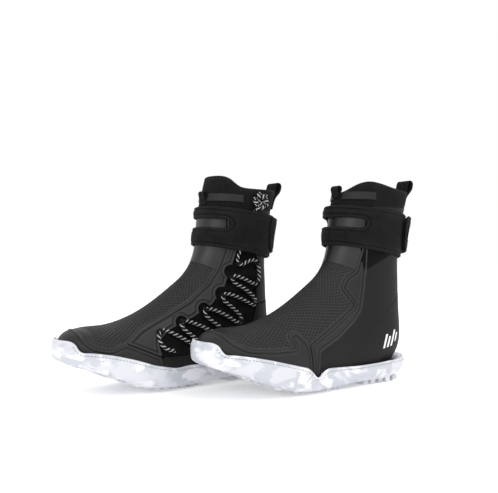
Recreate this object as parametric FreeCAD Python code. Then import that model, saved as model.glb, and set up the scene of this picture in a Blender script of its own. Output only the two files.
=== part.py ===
"""A pair of high-cut lace-up boots with a wrap-round ankle strap, as separate pieces.

Each boot is drawn once as a left boot in its own frame: x runs from the heel (0) to the
toe (about 300), +y is the outer (lateral) side, z is the height above the ground. The
right boot is the mirror image, turned a little and set one step ahead. The pair's origin
is the bottom centre of its bounding box. Lengths are millimetres, angles are degrees.
"""
import FreeCAD, Part
import math
import os

Vector = FreeCAD.Vector

# ---- driving dimensions -------------------------------------------------------------
# One row per cross-section of the upper, from the toe tip to the top of the shaft:
# ridge point (x, z), sole point (x, z), lateral half width, medial half width, share of
# the height where it is widest, roundness exponent of the lower and of the upper half.
UPPER_SECTIONS = (
    ((294, 65), (293, 52), 11, 10, .50, 2.4, 2.2),
    ((289.5, 73), (285.5, 46.5), 24, 23, .45, 2.6, 2.2),
    ((280, 78.5), (273, 42), 35, 34, .42, 3.0, 2.2),
    ((260, 82), (250, 35), 44, 43, .40, 3.4, 2.3),
    ((236, 83), (222, 24), 50, 48, .36, 3.6, 2.3),
    ((211, 89), (188, 14.5), 51, 48, .33, 3.6, 2.2),
    ((187, 100), (152, 11.5), 47, 44, .30, 3.4, 2.1),
    ((163, 115), (112, 12.5), 42, 40, .30, 3.2, 2.1),
    ((144, 129), (70, 15), 38, 36.5, .30, 3.0, 2.1),
    ((129, 141), (28, 19), 36.5, 35, .33, 2.6, 2.1),
    ((118, 153), (1, 42), 36.5, 35, .40, 2.3, 2.2),
    ((110.5, 166), (-1, 85), 36, 35, .44, 2.2, 2.2),
    ((105.5, 181), (2, 128), 37, 36, .46, 2.2, 2.2),
    ((102.5, 199), (4, 165), 39, 38, .48, 2.2, 2.2),
    ((100, 221), (1, 200), 41, 40, .48, 2.2, 2.2),
    ((95, 243), (-8, 238), 42.5, 41.5, .48, 2.2, 2.2),
    ((88, 268), (-15, 264), 44, 43, .48, 2.2, 2.2),
    ((81, 294), (-22, 290), 45, 44, .48, 2.2, 2.2),
)
# The sole fans round the heel in the same planes: ridge point, lowest point of the rubber,
# lateral and medial half width, roundness exponent of the lower half.
SOLE_SECTIONS = (
    ((301, 63), (299.5, 50), 14, 13, 5.0),
    ((294, 78), (290, 40), 31, 30, 5.0),
    ((281, 84), (274, 34.5), 41, 40, 5.0),
    ((260, 90), (249, 25.5), 49.5, 48, 5.0),
    ((236, 95), (220, 13.5), 55, 52.5, 5.0),
    ((211, 100), (186, 4.2), 56, 52.5, 5.0),
    ((187, 110), (150, 1.8), 52, 47, 5.0),
    ((163, 125), (109, 3.2), 46.5, 43, 5.0),
    ((144, 139), (65, 4.4), 42.5, 40, 4.6),
    ((129, 151), (19, 6.5), 38.5, 37.5, 3.6),
    ((122, 157), (-1.5, 16.5), 37.5, 36.5, 2.5),
    ((118, 163), (-5.5, 34), 37.5, 36.5, 2.4),
    ((110.5, 176), (-5.5, 84), 37, 36, 2.3),
)
SOLE_WIDEST_SHARE = .16
LUG_HEIGHT = 1.8          # tread below the rubber at the ball of the foot
RUBBER_THICKNESS = 3.2    # floor of the outsole cup

# How far each layer of the upper lies outside the outer surface of the shell.
SHELL_INNER = -1.1
BOOTIE_OUTER = -1.2
BOOTIE_INNER = -4.6
INSERT_INNER = -2.5
INSERT_POCKET = -2.6
COLLAR_OUTER = -0.3
FOOTBED_OUTER = -4.7
BAR_OUTER = 1.3

# Outlines seen from the side, (x, z).
LATERAL_SEAM = ((80, 228), (80, 178), (88, 149), (100, 142), (108, 127), (91, 104),
                (113, 89), (138, 75), (168, 60))
LATERAL_TAB = ((184, 78), (199, 73), (190, 59))
LATERAL_RAND = ((225, 59), (253, 61), (265, 67), (273, 75), (282, 90))
SIDE_SEAM = ((72, 228), (72, 150), (75, 125), (80, 97), (92, 83), (118, 65), (152, 50))
COUNTER_SEAM = ((-30, 121), (10, 118), (27, 107), (53, 89), (74, 63), (94, 50), (125, 20))
MEDIAL_VAMP_EDGE = ((83, 228), (83, 176), (91, 152), (104, 132), (130, 111), (167, 94),
                    (205, 78), (228, 64))
MEDIAL_RAND = ((248, 57), (265, 61), (273, 68), (282, 90))
WINDOW_FRONT = ((62, 228), (64, 178), (72, 150), (82, 125), (100, 103), (130, 88),
                (165, 75), (184, 62), (180, 43))
WINDOW_FLOOR = ((150, 42), (110, 46), (84, 54), (60, 60))
WINDOW_BACK = ((37, 80), (30, 104), (30, 130), (33, 178), (34, 228))
RAIL_CUTOUTS = ((73, 147), (86, 118), (112, 98), (147, 83))
CUTOUT_RADIUS = 8
SHIN_EDGE = ((130, 172), (87, 153))
FOXING_TOE = ((320, 70), (287, 70), (282, 56))
FOXING_LATERAL = ((272, 56), (252, 53), (228, 48), (203, 41.5), (173, 33.5), (160, 18.5),
                  (147, 31), (93, 28.5), (55, 29), (20, 31), (-10, 36), (-30, 37))
FOXING_MEDIAL = ((272, 56), (246, 52), (217, 44), (192, 35), (160, 28), (143, 30),
                 (93, 28.5), (55, 29), (20, 31), (-10, 36), (-30, 37))
COLLAR_TOP = {
    "left": (((-40, 252), (10, 252), (38, 256), (55, 261), (70, 264.5), (81, 262),
              (90, 255), (96, 247), (125, 246)),
             ((-40, 252), (62, 250), (96, 247), (125, 246))),
    "right": (((-40, 257), (10, 257), (40, 260), (60, 266), (75, 273), (84, 276),
               (125, 276)),
              ((-40, 257), (35, 257), (58, 258), (66, 263), (74, 272), (84, 276),
               (125, 276))),
}
SHELL_TOP = 228

# Ankle strap, closing flap and their fastener tape.
STRAP_BAND = ((-45, 217), (-5, 221.5), (50, 228), (100, 233.5), (125, 236),
              (125, 184), (105, 182), (50, 173), (0, 163), (-45, 155))
STRAP_LIFT = (0.6, 5.6)          # inner face over the front and lateral side, medial side
STRAP_THICKNESS = 4.0
SLOT_HEIGHT = 12
SLOT_END = (82.5, 210)           # centre of the slot's rounded end
SLOT_SLOPE = 6
LOOP_PATCH_LIFT = (4.7, 5.5)
HOOK_PATCH_LIFT = (6.1, 7.7)
FLAP_LIFT = (7.8, 12.6)
FLAP_OUTLINE = ((18, 222), (22, 217), (21, 184), (17, 178), (-20, 170), (-60, 168),
                (-60, 212), (-20, 217))
FLAP_ROOT_ANGLE = 42             # from straight back, towards the medial side
FLAP_CENTRE_X = 51
FLAP_ROOT_LEAN = 8               # the root leans back with the shaft
FLAP_ROOT_SPAN = (171.5, 211.5)
TAPE_START = 26                  # the fastener tapes begin this far past the root
PATCH_OUTLINE = ((12, 214), (14, 186), (-20, 176), (-60, 172), (-60, 206), (-20, 210))

# Webbing loops, in their own frame: along the leaning shaft and outwards from it.
SHAFT_LEAN = 15
HEEL_LOOP_BASE = (-8.6, 238)
HEEL_LOOP_WIDTH = 22
FRONT_LOOP_BASE = (96.3, 240)
FRONT_LOOP_WIDTH = 14
FRONT_LOOP_PIVOT = (3.6, 2.7)    # along, outwards

# The lace: one cord from the knot bundle above the strap down to its stopper knot,
# (x, z, height of its centre line over the shell), on the medial side.
CORD_DIAMETER = 4.6
LACE_ROUTE = (
    (39, 237, 8.5), (41, 230, 3.6), (44, 219, 2.6), (50, 201, 2.6), (58, 182, 2.7),
    (67, 163, 2.9), (61, 154, 2.9), (50, 161, 3.2), (38, 163, 3.0), (31, 156, 2.9),
    (29, 145, 3.0), (29, 134, 2.9), (36, 128, 2.9), (54, 137, 3.4),
    (71, 143, 2.9), (74, 134, 2.9), (53, 124, 3.4),
    (34, 108, 2.9), (35, 98, 2.9), (59, 111, 3.4),
    (83, 120, 2.9), (88, 111, 2.9), (73, 100, 3.4),
    (57, 85, 2.9), (62, 76, 2.9), (84, 91, 3.4),
    (108, 101, 2.9), (116, 94, 2.9), (103, 82, 3.2),
    (89, 73, 2.9), (97, 66, 2.9), (119, 77, 3.2),
    (143, 87, 2.9), (152, 81, 2.9), (141, 70, 3.2),
    (127, 61, 2.9), (135, 55, 2.9), (154, 67, 3.2),
    (176, 78, 2.9), (184, 71, 2.9), (183, 60, 3.0), (174, 52, 2.9), (163, 50, 2.9),
)
# The run of the route that each keeper holds, by the number of its first point.
HEEL_STROKES = ((21, 50, 66), (28, 48.5, 70), (35, 47.5, 62), (42, 46.5, 65))
STROKE_WIDTH = 3.4
STROKE_LEAN = 0.25
KEEPER_RUNS = (5, 8, 11, 14, 17, 20, 23, 26, 29, 32, 35, 38)
KEEPER_RADII = (3.5, 4.3)
KEEPER_LENGTH = 3.6
KEEPER_CLEARANCE = 0.5
BUNDLE_CENTRE = (36, 240.5)
BUNDLE_RADII = (13, 8, 12.5)
BUNDLE_STANDOFF = 9.3

# Placing of the pair.
RIGHT_AHEAD = 141
RIGHT_ASIDE = -116
RIGHT_TURN = 4

RING_POINTS = 36
REACH = 90                       # half width of a side-view cutter
MEDIAL = -1
LATERAL = 1


# ---- lofted layers --------------------------------------------------------------------
def ring_points(ridge, low, halves, widest, roundness):
    """Points round one section: a superellipse in the plane through ridge and low point."""
    points = []
    for number in range(RING_POINTS):
        angle = 2 * math.pi * number / RING_POINTS
        side = math.sin(angle)
        height = math.cos(angle)
        exponent = roundness[0] if height > 0 else roundness[1]
        half = halves[0] if side > 0 else halves[1]
        y = math.copysign(abs(side) ** (2 / exponent) * half, side)
        rise = abs(height) ** (2 / exponent)
        share = widest * (1 - rise) if height > 0 else widest + (1 - widest) * rise
        x = low[0] + (ridge[0] - low[0]) * share
        z = low[1] + (ridge[1] - low[1]) * share
        points.append(Vector(x, y, z))
    return points


def closed_skin(rings):
    """Solid with a smooth skin through a row of rings and a flat cap at each end."""
    steps = [number / RING_POINTS for number in range(RING_POINTS + 1)]
    curves = []
    for ring in rings:
        curve = Part.BSplineCurve()
        curve.interpolate(Points=ring, PeriodicFlag=True, Parameters=steps)
        curves.append(curve)
    places = [0.0]
    for ring, following in zip(rings, rings[1:]):
        gaps = [(one - other).Length for one, other in zip(ring, following)]
        places.append(places[-1] + sum(gaps) / len(gaps))
    strakes = []
    for number in range(1, curves[0].NbPoles + 1):
        strake = Part.BSplineCurve()
        poles = [curve.getPole(number) for curve in curves]
        strake.interpolate(Points=poles, Parameters=[place / places[-1] for place in places])
        strakes.append(strake)
    grid = [[strake.getPole(number) for number in range(1, strakes[0].NbPoles + 1)]
            for strake in strakes]
    surface = Part.BSplineSurface()
    surface.buildFromPolesMultsKnots(
        grid, curves[0].getMultiplicities(), strakes[0].getMultiplicities(),
        curves[0].getKnots(), strakes[0].getKnots(), True, False,
        curves[0].Degree, strakes[0].Degree)
    side = surface.toShape()
    caps = [Part.Face(Part.Wire([edge])) for edge in side.Edges if edge.isClosed()]
    for cap in caps:
        cap.reverse()
    return Part.Solid(Part.Shell([side] + caps))


def stretched(ridge, low, outset):
    """Both ends of a section moved apart by the outset."""
    reach = math.dist(ridge, low)
    along = ((ridge[0] - low[0]) / reach, (ridge[1] - low[1]) / reach)
    top = (ridge[0] + along[0] * outset, ridge[1] + along[1] * outset)
    bottom = (low[0] - along[0] * outset, low[1] - along[1] * outset)
    return top, bottom


def upper_body(outset, medial_outset=None, first=0, last=len(UPPER_SECTIONS)):
    """Solid filling the upper, with its surface moved outwards by the outset."""
    if medial_outset is None:
        medial_outset = outset
    rings = []
    for number in range(first, last):
        ridge, low, lateral, medial, widest, lower, upper = UPPER_SECTIONS[number]
        top, bottom = stretched(ridge, low, outset)
        if number == 0:
            top = (top[0] + outset, top[1])
            bottom = (bottom[0] + outset, bottom[1])
        halves = (lateral + outset, medial + medial_outset)
        rings.append(ring_points(top, bottom, halves, widest, (lower, upper)))
    return closed_skin(rings)


def shaft_layer(inner, outer, medial_extra=0.0):
    """Hollow sleeve round the shaft between two outsets."""
    first = 10
    outside = upper_body(outer, outer + medial_extra, first)
    inside = upper_body(inner, inner + medial_extra, first)
    return outside.cut(inside)


def sole_body(inset=0.0):
    """Solid of the rubber sole before the foot is taken out of it."""
    rings = []
    for ridge, low, lateral, medial, roundness in SOLE_SECTIONS:
        top, bottom = stretched(ridge, low, -inset)
        if ridge[0] > 300:
            top = (top[0] - inset, top[1])
            bottom = (bottom[0] - inset, bottom[1])
        halves = (lateral - inset, medial - inset)
        rings.append(ring_points(top, bottom, halves, SOLE_WIDEST_SHARE, (roundness, 2.4)))
    return closed_skin(rings)


# ---- side-view cutters ----------------------------------------------------------------
def side_prism(outline, side=0):
    """Outline in x and z pushed across the boot: both sides, or only one."""
    start = -REACH if side <= 0 else 0
    end = REACH if side >= 0 else 0
    corners = [Vector(x, start, z) for x, z in outline]
    face = Part.Face(Part.makePolygon(corners + [corners[0]]))
    return face.extrude(Vector(0, end - start, 0))


def two_sided_prism(lateral, medial):
    """Cutter with one outline on the lateral side and another on the medial side."""
    return side_prism(lateral, LATERAL).fuse(side_prism(medial, MEDIAL))


def below_profile(lateral, medial, floor):
    """Everything under a top line given for each side, down to the floor height."""
    ends = ((lateral[-1][0], floor), (lateral[0][0], floor))
    return two_sided_prism(lateral + ends, medial + ends)


def solids_of(shape):
    """One compound of the solids in a shape, without slivers."""
    smallest = 0.5
    return Part.makeCompound([solid for solid in shape.Solids if solid.Volume > smallest])


# ---- sole unit ------------------------------------------------------------------------
def softened(line):
    """Open line with its inner corners cut at a quarter of the sides beside them."""
    points = [line[0]]
    for start, end in zip(line, line[1:]):
        for share in (0.25, 0.75):
            points.append(tuple(a + (b - a) * share for a, b in zip(start, end)))
    points.append(line[-1])
    return tuple(points)


def foxing_prism():
    """Space under the top line of the sole's side wall."""
    lateral = softened(FOXING_TOE + FOXING_LATERAL)
    medial = softened(FOXING_TOE + FOXING_MEDIAL)
    return below_profile(lateral, medial, -10)


def make_sole(rubber, upper):
    """Outsole cup, midsole in its bottom and tread lugs under it."""
    slab = side_prism(((284, 38), (250, 22), (222, 12), (186, 2), (20, 2), (8, 14),
                       (8, 24), (30, 22), (110, 18), (160, 18), (200, 24), (228, 36),
                       (255, 46), (284, 56)))
    core = sole_body(5.5).common(slab)
    floor_cut = sole_body(0).copy()
    floor_cut.translate(Vector(0, 0, RUBBER_THICKNESS))
    core = core.common(floor_cut)
    midsole = core.cut(upper)
    cup = rubber.common(foxing_prism())
    outsole = cup.cut(upper).cut(core)
    return solids_of(outsole), solids_of(midsole), solids_of(tread_lugs(rubber))


def rubber_floor(x):
    """Height of the lowest rubber line at a place along the boot."""
    lows = [row[1] for row in SOLE_SECTIONS[1:10]]
    for front, back in zip(lows, lows[1:]):
        if back[0] <= x <= front[0]:
            share = (x - back[0]) / (front[0] - back[0])
            return back[1] + (front[1] - back[1]) * share
    return lows[-1][1]


def sole_half_width(x):
    """Half the width of the sole at a place along the boot."""
    halves = [(row[1][0], row[3]) for row in SOLE_SECTIONS[1:10]]
    for front, back in zip(halves, halves[1:]):
        if back[0] <= x <= front[0]:
            share = (x - back[0]) / (front[0] - back[0])
            return back[1] + (front[1] - back[1]) * share
    return halves[-1][1]


def tread_lugs(rubber):
    """Chevron bars across the sole, clear of its edges, with none under the arch.

    Behind the ball of the foot they all reach the ground; in front they rise with the toe.
    """
    bar = 7.5
    pitch = 13
    embed = 1.2
    sweep = 7
    edge = 11
    arch = (84, 118)
    lugs = []
    for number in range(19):
        x = 20 + pitch * number
        if arch[0] < x < arch[1]:
            continue
        half = sole_half_width(x) - edge
        low = 0 if x < 155 else rubber_floor(x) - LUG_HEIGHT
        slope = 0 if x < 155 else (rubber_floor(x + 4) - rubber_floor(x - 4)) / 8
        tall = rubber_floor(x) - low + embed
        for side in (LATERAL, MEDIAL):
            corners = ((x, 1.2 * side), (x + bar, 1.2 * side),
                       (x + bar - sweep, half * side), (x - sweep, half * side))
            points = [Vector(a, b, max(low + slope * (a - x), 0)) for a, b in corners]
            wire = Part.makePolygon(points + [points[0]])
            face = Part.Face(wire) if planar(points) else Part.makeFilledFace(wire.Edges)
            lugs.append(face.extrude(Vector(0, 0, tall)))
    return Part.makeCompound(lugs).cut(rubber)


def planar(points):
    """Whether four corners lie in one plane."""
    normal = (points[1] - points[0]).cross(points[2] - points[0])
    return abs(normal.dot(points[3] - points[0])) < 1e-6 * max(normal.Length, 1)


# ---- upper ----------------------------------------------------------------------------
def panel_prisms():
    """Side-view cutters of the shell's panels."""
    toe_out = (330, 90)
    shin_front = (130, 228)
    lateral_vamp = ((330, 172), SHIN_EDGE[0], SHIN_EDGE[1]) + LATERAL_SEAM[2:]
    lateral_vamp += LATERAL_TAB + LATERAL_RAND + (toe_out,)
    medial_vamp = ((330, 172), SHIN_EDGE[0]) + MEDIAL_VAMP_EDGE[2:]
    medial_vamp += MEDIAL_RAND + (toe_out,)
    lateral_shin = LATERAL_SEAM[:2] + (SHIN_EDGE[1], SHIN_EDGE[0], shin_front)
    medial_shin = MEDIAL_VAMP_EDGE[:3] + (SHIN_EDGE[0], shin_front)
    lateral_rand = (LATERAL_SEAM[-1],) + LATERAL_TAB + LATERAL_RAND
    lateral_rand += (toe_out, (330, 10), (165, 10))
    medial_rand = (MEDIAL_VAMP_EDGE[-1],) + MEDIAL_RAND
    medial_rand += (toe_out, (330, 10), (180, 10), WINDOW_FRONT[-1])
    quarter = LATERAL_SEAM + ((165, 10), (157, 10)) + tuple(reversed(SIDE_SEAM))
    rear = SIDE_SEAM + ((157, 10), (125, 10)) + tuple(reversed(COUNTER_SEAM))
    rear += ((-45, 121), (-45, 228))
    counter_lateral = COUNTER_SEAM + ((125, 10), (-45, 10), (-45, 121))
    counter_medial = ((-45, 112), (31, 104)) + ((37, 80),) + tuple(reversed(WINDOW_FLOOR))
    counter_medial += (WINDOW_FRONT[-1], (180, 10), (-45, 10))
    rail = MEDIAL_VAMP_EDGE + (WINDOW_FRONT[-1],) + tuple(reversed(WINDOW_FRONT[:-1]))
    medial_heel = ((-45, 112), (31, 104), WINDOW_BACK[2], WINDOW_BACK[3], WINDOW_BACK[4],
                   (-45, 228))
    return {
        "vamp": two_sided_prism(lateral_vamp, medial_vamp),
        "shin_panel": two_sided_prism(lateral_shin, medial_shin),
        "toe_rand": two_sided_prism(lateral_rand, medial_rand),
        "lateral_quarter": side_prism(quarter, LATERAL),
        "rear_quarter": side_prism(rear, LATERAL),
        "heel_counter": two_sided_prism(counter_lateral, counter_medial),
        "medial_rail": notched(side_prism(rail, MEDIAL)),
        "medial_heel_panel": side_prism(medial_heel, MEDIAL),
    }


def notched(rail):
    """Rail with the round cut-outs that leave its lace fingers."""
    for x, z in RAIL_CUTOUTS:
        start = Vector(x, -REACH, z)
        rail = rail.cut(Part.makeCylinder(CUTOUT_RADIUS, REACH, start, Vector(0, 1, 0)))
    return rail


def sole_line_prism():
    """The shell stops this far down inside the sole's cup."""
    tuck = 11
    lateral = FOXING_TOE + FOXING_LATERAL
    medial = FOXING_TOE + FOXING_MEDIAL
    lateral = tuple((x, z - tuck) for x, z in lateral)
    medial = tuple((x, z - tuck) for x, z in medial)
    ceiling = ((-30, 320), (320, 320))
    return two_sided_prism(lateral + ceiling, medial + ceiling)


def make_shell(shell_space, cavity_space):
    """Panels of the outer shell."""
    shell = shell_space.cut(cavity_space).common(sole_line_prism())
    return {name: solids_of(shell.common(prism)) for name, prism in panel_prisms().items()}


def make_lining():
    """Bootie and the stiff pieces let into its outside."""
    outside = upper_body(BOOTIE_OUTER)
    inside = upper_body(BOOTIE_INNER)
    inserts = outside.cut(upper_body(INSERT_INNER))
    pocket = outside.cut(upper_body(INSERT_POCKET))
    below_board = ((-30, 0), (-30, 12), (10, 24), (60, 21), (160, 18), (215, 26),
                   (250, 41), (284, 56), (300, 60), (300, 0))
    behind_counter = ((-30, 26), (8, 26), (64, 24), (52, 60), (26, 92), (-30, 100))
    toe_line = ((262, 48), (320, 60), (320, 110), (266, 110))
    cutters = [side_prism(line) for line in (below_board, behind_counter, toe_line)]
    board, stiffener, puff = [solids_of(inserts.common(cutter)) for cutter in cutters]
    puff = solids_of(puff.cut(cutters[0]))
    stiffener = solids_of(stiffener.cut(cutters[0]))
    bootie = outside.cut(inside)
    for cutter in cutters:
        bootie = bootie.cut(pocket.common(cutter))
    below_top = side_prism(((-60, 0), (340, 0), (340, SHELL_TOP), (-60, SHELL_TOP)))
    bootie = solids_of(bootie.common(below_top))
    footbed_top = ((-30, 0), (-30, 34), (20, 29), (75, 25.5), (160, 22), (200, 26),
                   (232, 36.5), (258, 46), (300, 58), (300, 0))
    footbed = solids_of(upper_body(FOOTBED_OUTER).common(side_prism(footbed_top)))
    return {"bootie": bootie, "insole_board": board, "heel_stiffener": stiffener,
            "toe_puff": puff, "footbed": footbed}


def make_collar(side):
    """Knitted neoprene collar above the shell."""
    lateral, medial = [softened(line) for line in COLLAR_TOP[side]]
    sleeve = shaft_layer(BOOTIE_INNER, COLLAR_OUTER)
    return solids_of(sleeve.common(below_profile(lateral, medial, SHELL_TOP)))


def make_collar_bar():
    """Two raised rubber bars on the front of the collar, with a gap at the front loop."""
    sleeve = shaft_layer(COLLAR_OUTER + 0.05, BAR_OUTER)
    lateral = ((64, 240), (64, 249.5), (110, 252), (110, 242))
    medial = ((58, 239), (58, 248.5), (110, 252), (110, 242))
    gap = Part.makeBox(60, 18, 60, Vector(60, -9, 220))
    return solids_of(sleeve.common(two_sided_prism(lateral, medial)).cut(gap))


# ---- strap ----------------------------------------------------------------------------
def slot_prism():
    """Long slot through the front of the strap, round at both ends."""
    reach = 60
    half = SLOT_HEIGHT / 2
    x, z = SLOT_END
    body = side_prism(((x, z - half), (x + reach, z - half), (x + reach, z + half),
                       (x, z + half)))
    end = Part.makeCylinder(half, 2 * REACH, Vector(x, -REACH, z), Vector(0, 1, 0))
    slot = body.fuse(end)
    slot.rotate(Vector(x, 0, z), Vector(0, 1, 0), -SLOT_SLOPE)
    return slot


def flap_root():
    """Middle of the flap's hinge line, where it leaves the back of the strap."""
    turn = math.radians(FLAP_ROOT_ANGLE)
    middle = (FLAP_LIFT[0] + FLAP_LIFT[1]) / 2
    depth = 51 + middle
    width = 42.5 + middle
    x = FLAP_CENTRE_X - depth * math.cos(turn)
    y = -width * math.sin(turn)
    return Vector(x, y, sum(FLAP_ROOT_SPAN) / 2)


def root_axis():
    """Direction of the flap's hinge line."""
    lean = math.radians(FLAP_ROOT_LEAN)
    return Vector(-math.sin(lean), 0, math.cos(lean))


def make_strap():
    """Ankle strap and the loop tape on its back."""
    lift, medial_lift = STRAP_LIFT
    sleeve = shaft_layer(lift, lift + STRAP_THICKNESS, medial_lift - lift)
    strap = sleeve.common(side_prism(STRAP_BAND)).cut(slot_prism())
    patch = shaft_layer(*LOOP_PATCH_LIFT).common(side_prism(PATCH_OUTLINE))
    patch = patch.cut(root_side_cutter(TAPE_START))
    return solids_of(strap), solids_of(patch)


def root_side_cutter(past):
    """Half space on the medial side of the flap's root, moved past the root."""
    root = flap_root()
    turn = math.radians(FLAP_ROOT_ANGLE)
    across = Vector(math.sin(turn), -math.cos(turn), 0)
    box = Part.makeBox(300, 300, 400, Vector(-150, -300, 0))
    angle = math.degrees(math.atan2(across.y, across.x)) + 90
    box.translate(Vector(0, 0, -200))
    box.rotate(Vector(0, 0, 0), Vector(0, 0, 1), angle)
    box.rotate(Vector(0, 0, 0), Vector(0, 1, 0), -FLAP_ROOT_LEAN)
    box.translate(root - across * past)
    return box


def make_flap():
    """Closing flap with its rounded root, hook tape and label."""
    root = flap_root()
    flap = shaft_layer(*FLAP_LIFT).common(side_prism(FLAP_OUTLINE))
    flap = flap.cut(root_side_cutter(0))
    radius = (FLAP_LIFT[1] - FLAP_LIFT[0]) / 2
    length = FLAP_ROOT_SPAN[1] - FLAP_ROOT_SPAN[0]
    axis = root_axis()
    bar = Part.makeCylinder(radius, length, root - axis * (length / 2), axis)
    flap = flap.fuse(bar)
    hook = shaft_layer(*HOOK_PATCH_LIFT).common(side_prism(PATCH_OUTLINE))
    hook = hook.cut(root_side_cutter(TAPE_START))
    label_sleeve = shaft_layer(FLAP_LIFT[1] + 0.05, FLAP_LIFT[1] + 0.5)
    label_line = ((8, 205), (11, 190), (5, 186), (3, 201))
    label = label_sleeve.common(side_prism(label_line, LATERAL))
    return solids_of(flap), solids_of(hook), solids_of(label)


# ---- webbing loops --------------------------------------------------------------------
def leaning(base, outward):
    """Function from a loop's own frame (along, out) to a point in the side view."""
    lean = math.radians(SHAFT_LEAN)
    along = (-math.sin(lean), math.cos(lean))
    out = (outward * math.cos(lean), outward * math.sin(lean))
    if outward < 0:
        out = (-math.cos(lean), -math.sin(lean))

    def place(a, b):
        return (base[0] + along[0] * a + out[0] * b, base[1] + along[1] * a + out[1] * b)
    return place


def webbing(place, outer, inner, width):
    """Folded webbing: an outer outline less an inner one, both in the loop's own frame."""
    half = width / 2
    shapes = []
    for outline in (outer, inner):
        corners = [Vector(place(a, b)[0], -half, place(a, b)[1]) for a, b in outline]
        face = Part.Face(Part.makePolygon(corners + [corners[0]]))
        shapes.append(face.extrude(Vector(0, width, 0)))
    return solids_of(shapes[0].cut(shapes[1]))


def make_heel_loop():
    """Pull loop of ribbed webbing sewn to the back of the collar."""
    place = leaning(HEEL_LOOP_BASE, -1)
    outer = ((-5, 0.2), (31.5, 0.2), (34.2, 1.6), (35.4, 4.2), (35.2, 7.2), (33.4, 9.6),
             (30.5, 10.6), (24, 10.6), (13, 4.6), (6, 3.6), (-5, 3.6))
    inner = ((12, 1.9), (30.7, 1.9), (32.6, 2.9), (33.6, 4.8), (33.2, 7.0), (31.9, 8.5),
             (29.8, 8.9), (24.6, 8.9), (14, 3.1))
    return webbing(place, outer, inner, HEEL_LOOP_WIDTH)


def make_front_loop(side):
    """Small webbing pull loop that tips forward about its sewn foot.

    The right boot's loop lies pressed flat against the collar.
    """
    place = leaning(FRONT_LOOP_BASE, 1)
    hem = 1.3
    outer = ((2.2, 3.2), (2.7, 2.0), (4.0, 1.5), (15.5, 1.5), (18.6, 2.9), (20.0, 5.8),
             (19.2, 9.2), (16.6, 11.0), (12.8, 10.6), (6.2, 5.2), (3.2, 4.7))
    inner = ((7.0, 3.1), (15.2, 3.1), (17.3, 4.1), (18.3, 6.1), (17.7, 8.2), (16.0, 9.3),
             (13.4, 9.0), (7.6, 4.2))
    if side == "right":
        outer, inner = [pressed(outline) for outline in (outer, inner)]
    loop = webbing(place, outer, inner, FRONT_LOOP_WIDTH)
    start = front_loop_pivot() - Vector(0, FRONT_LOOP_WIDTH / 2, 0)
    rolled_hem = Part.makeCylinder(hem, FRONT_LOOP_WIDTH, start, Vector(0, 1, 0))
    return solids_of(loop.fuse(rolled_hem))


def pressed(outline):
    """Outline of the front loop when it lies flat."""
    foot = (2.2, 1.5)
    share = (0.66, 0.46)
    return [tuple(start + (value - start) * part
                  for value, start, part in zip(point, foot, share)) for point in outline]


def front_loop_pivot():
    """Centre of the front loop's foot."""
    place = leaning(FRONT_LOOP_BASE, 1)
    x, z = place(*FRONT_LOOP_PIVOT)
    return Vector(x, 0, z)


def make_loop_tab():
    """Sewn patch that holds the foot of the front loop."""
    sleeve = shaft_layer(COLLAR_OUTER + 0.05, 0.8)
    block = Part.makeBox(60, 15, 10, Vector(70, -7.5, 236.5))
    return solids_of(sleeve.common(block))


# ---- lacing ---------------------------------------------------------------------------
def surface_y(space, x, z):
    """Medial side of a solid at a place in the side view."""
    ray = Part.makeLine(Vector(x, 0, z), Vector(x, -REACH, z))
    return min(vertex.Point.y for vertex in space.common(ray).Vertexes)


def lace_points(shell_space):
    """The lace's route in space."""
    points = []
    for x, z, lift in LACE_ROUTE:
        points.append(Vector(x, surface_y(shell_space, x, z) - lift, z))
    return points


def bend(before, corner, after):
    """Tangent arc at a corner of a cord's route: its start, middle, end and radius."""
    back = (before - corner)
    ahead = (after - corner)
    run = min(back.Length, ahead.Length)
    back.normalize()
    ahead.normalize()
    half_turn = (math.pi - back.getAngle(ahead)) / 2
    reach = 0.45 * run
    radius = reach / math.tan(half_turn)
    inward = back + ahead
    inward.normalize()
    centre = corner + inward * (radius / math.cos(half_turn))
    return corner + back * reach, centre - inward * radius, corner + ahead * reach, radius


def cord_tube(points, diameter):
    """Round cord along straight runs joined by tangent arcs."""
    edges = []
    place = points[0]
    radii = []
    for before, corner, after in zip(points, points[1:], points[2:]):
        start, middle, end, radius = bend(before, corner, after)
        edges.append(Part.LineSegment(place, start).toShape())
        edges.append(Part.Arc(start, middle, end).toShape())
        radii.append(radius)
        place = end
    edges.append(Part.LineSegment(place, points[-1]).toShape())
    path = Part.Wire(edges)
    first_run = points[1] - points[0]
    section = Part.Wire([Part.makeCircle(diameter / 2, points[0], first_run)])
    tube = path.makePipeShell([section], True, False)
    filled = path.Length * math.pi * diameter ** 2 / 4
    print("lace length %.0f, volume ratio %.3f, least radius %.1f"
          % (path.Length, tube.Volume / filled, min(radii)))
    return tube


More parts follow.
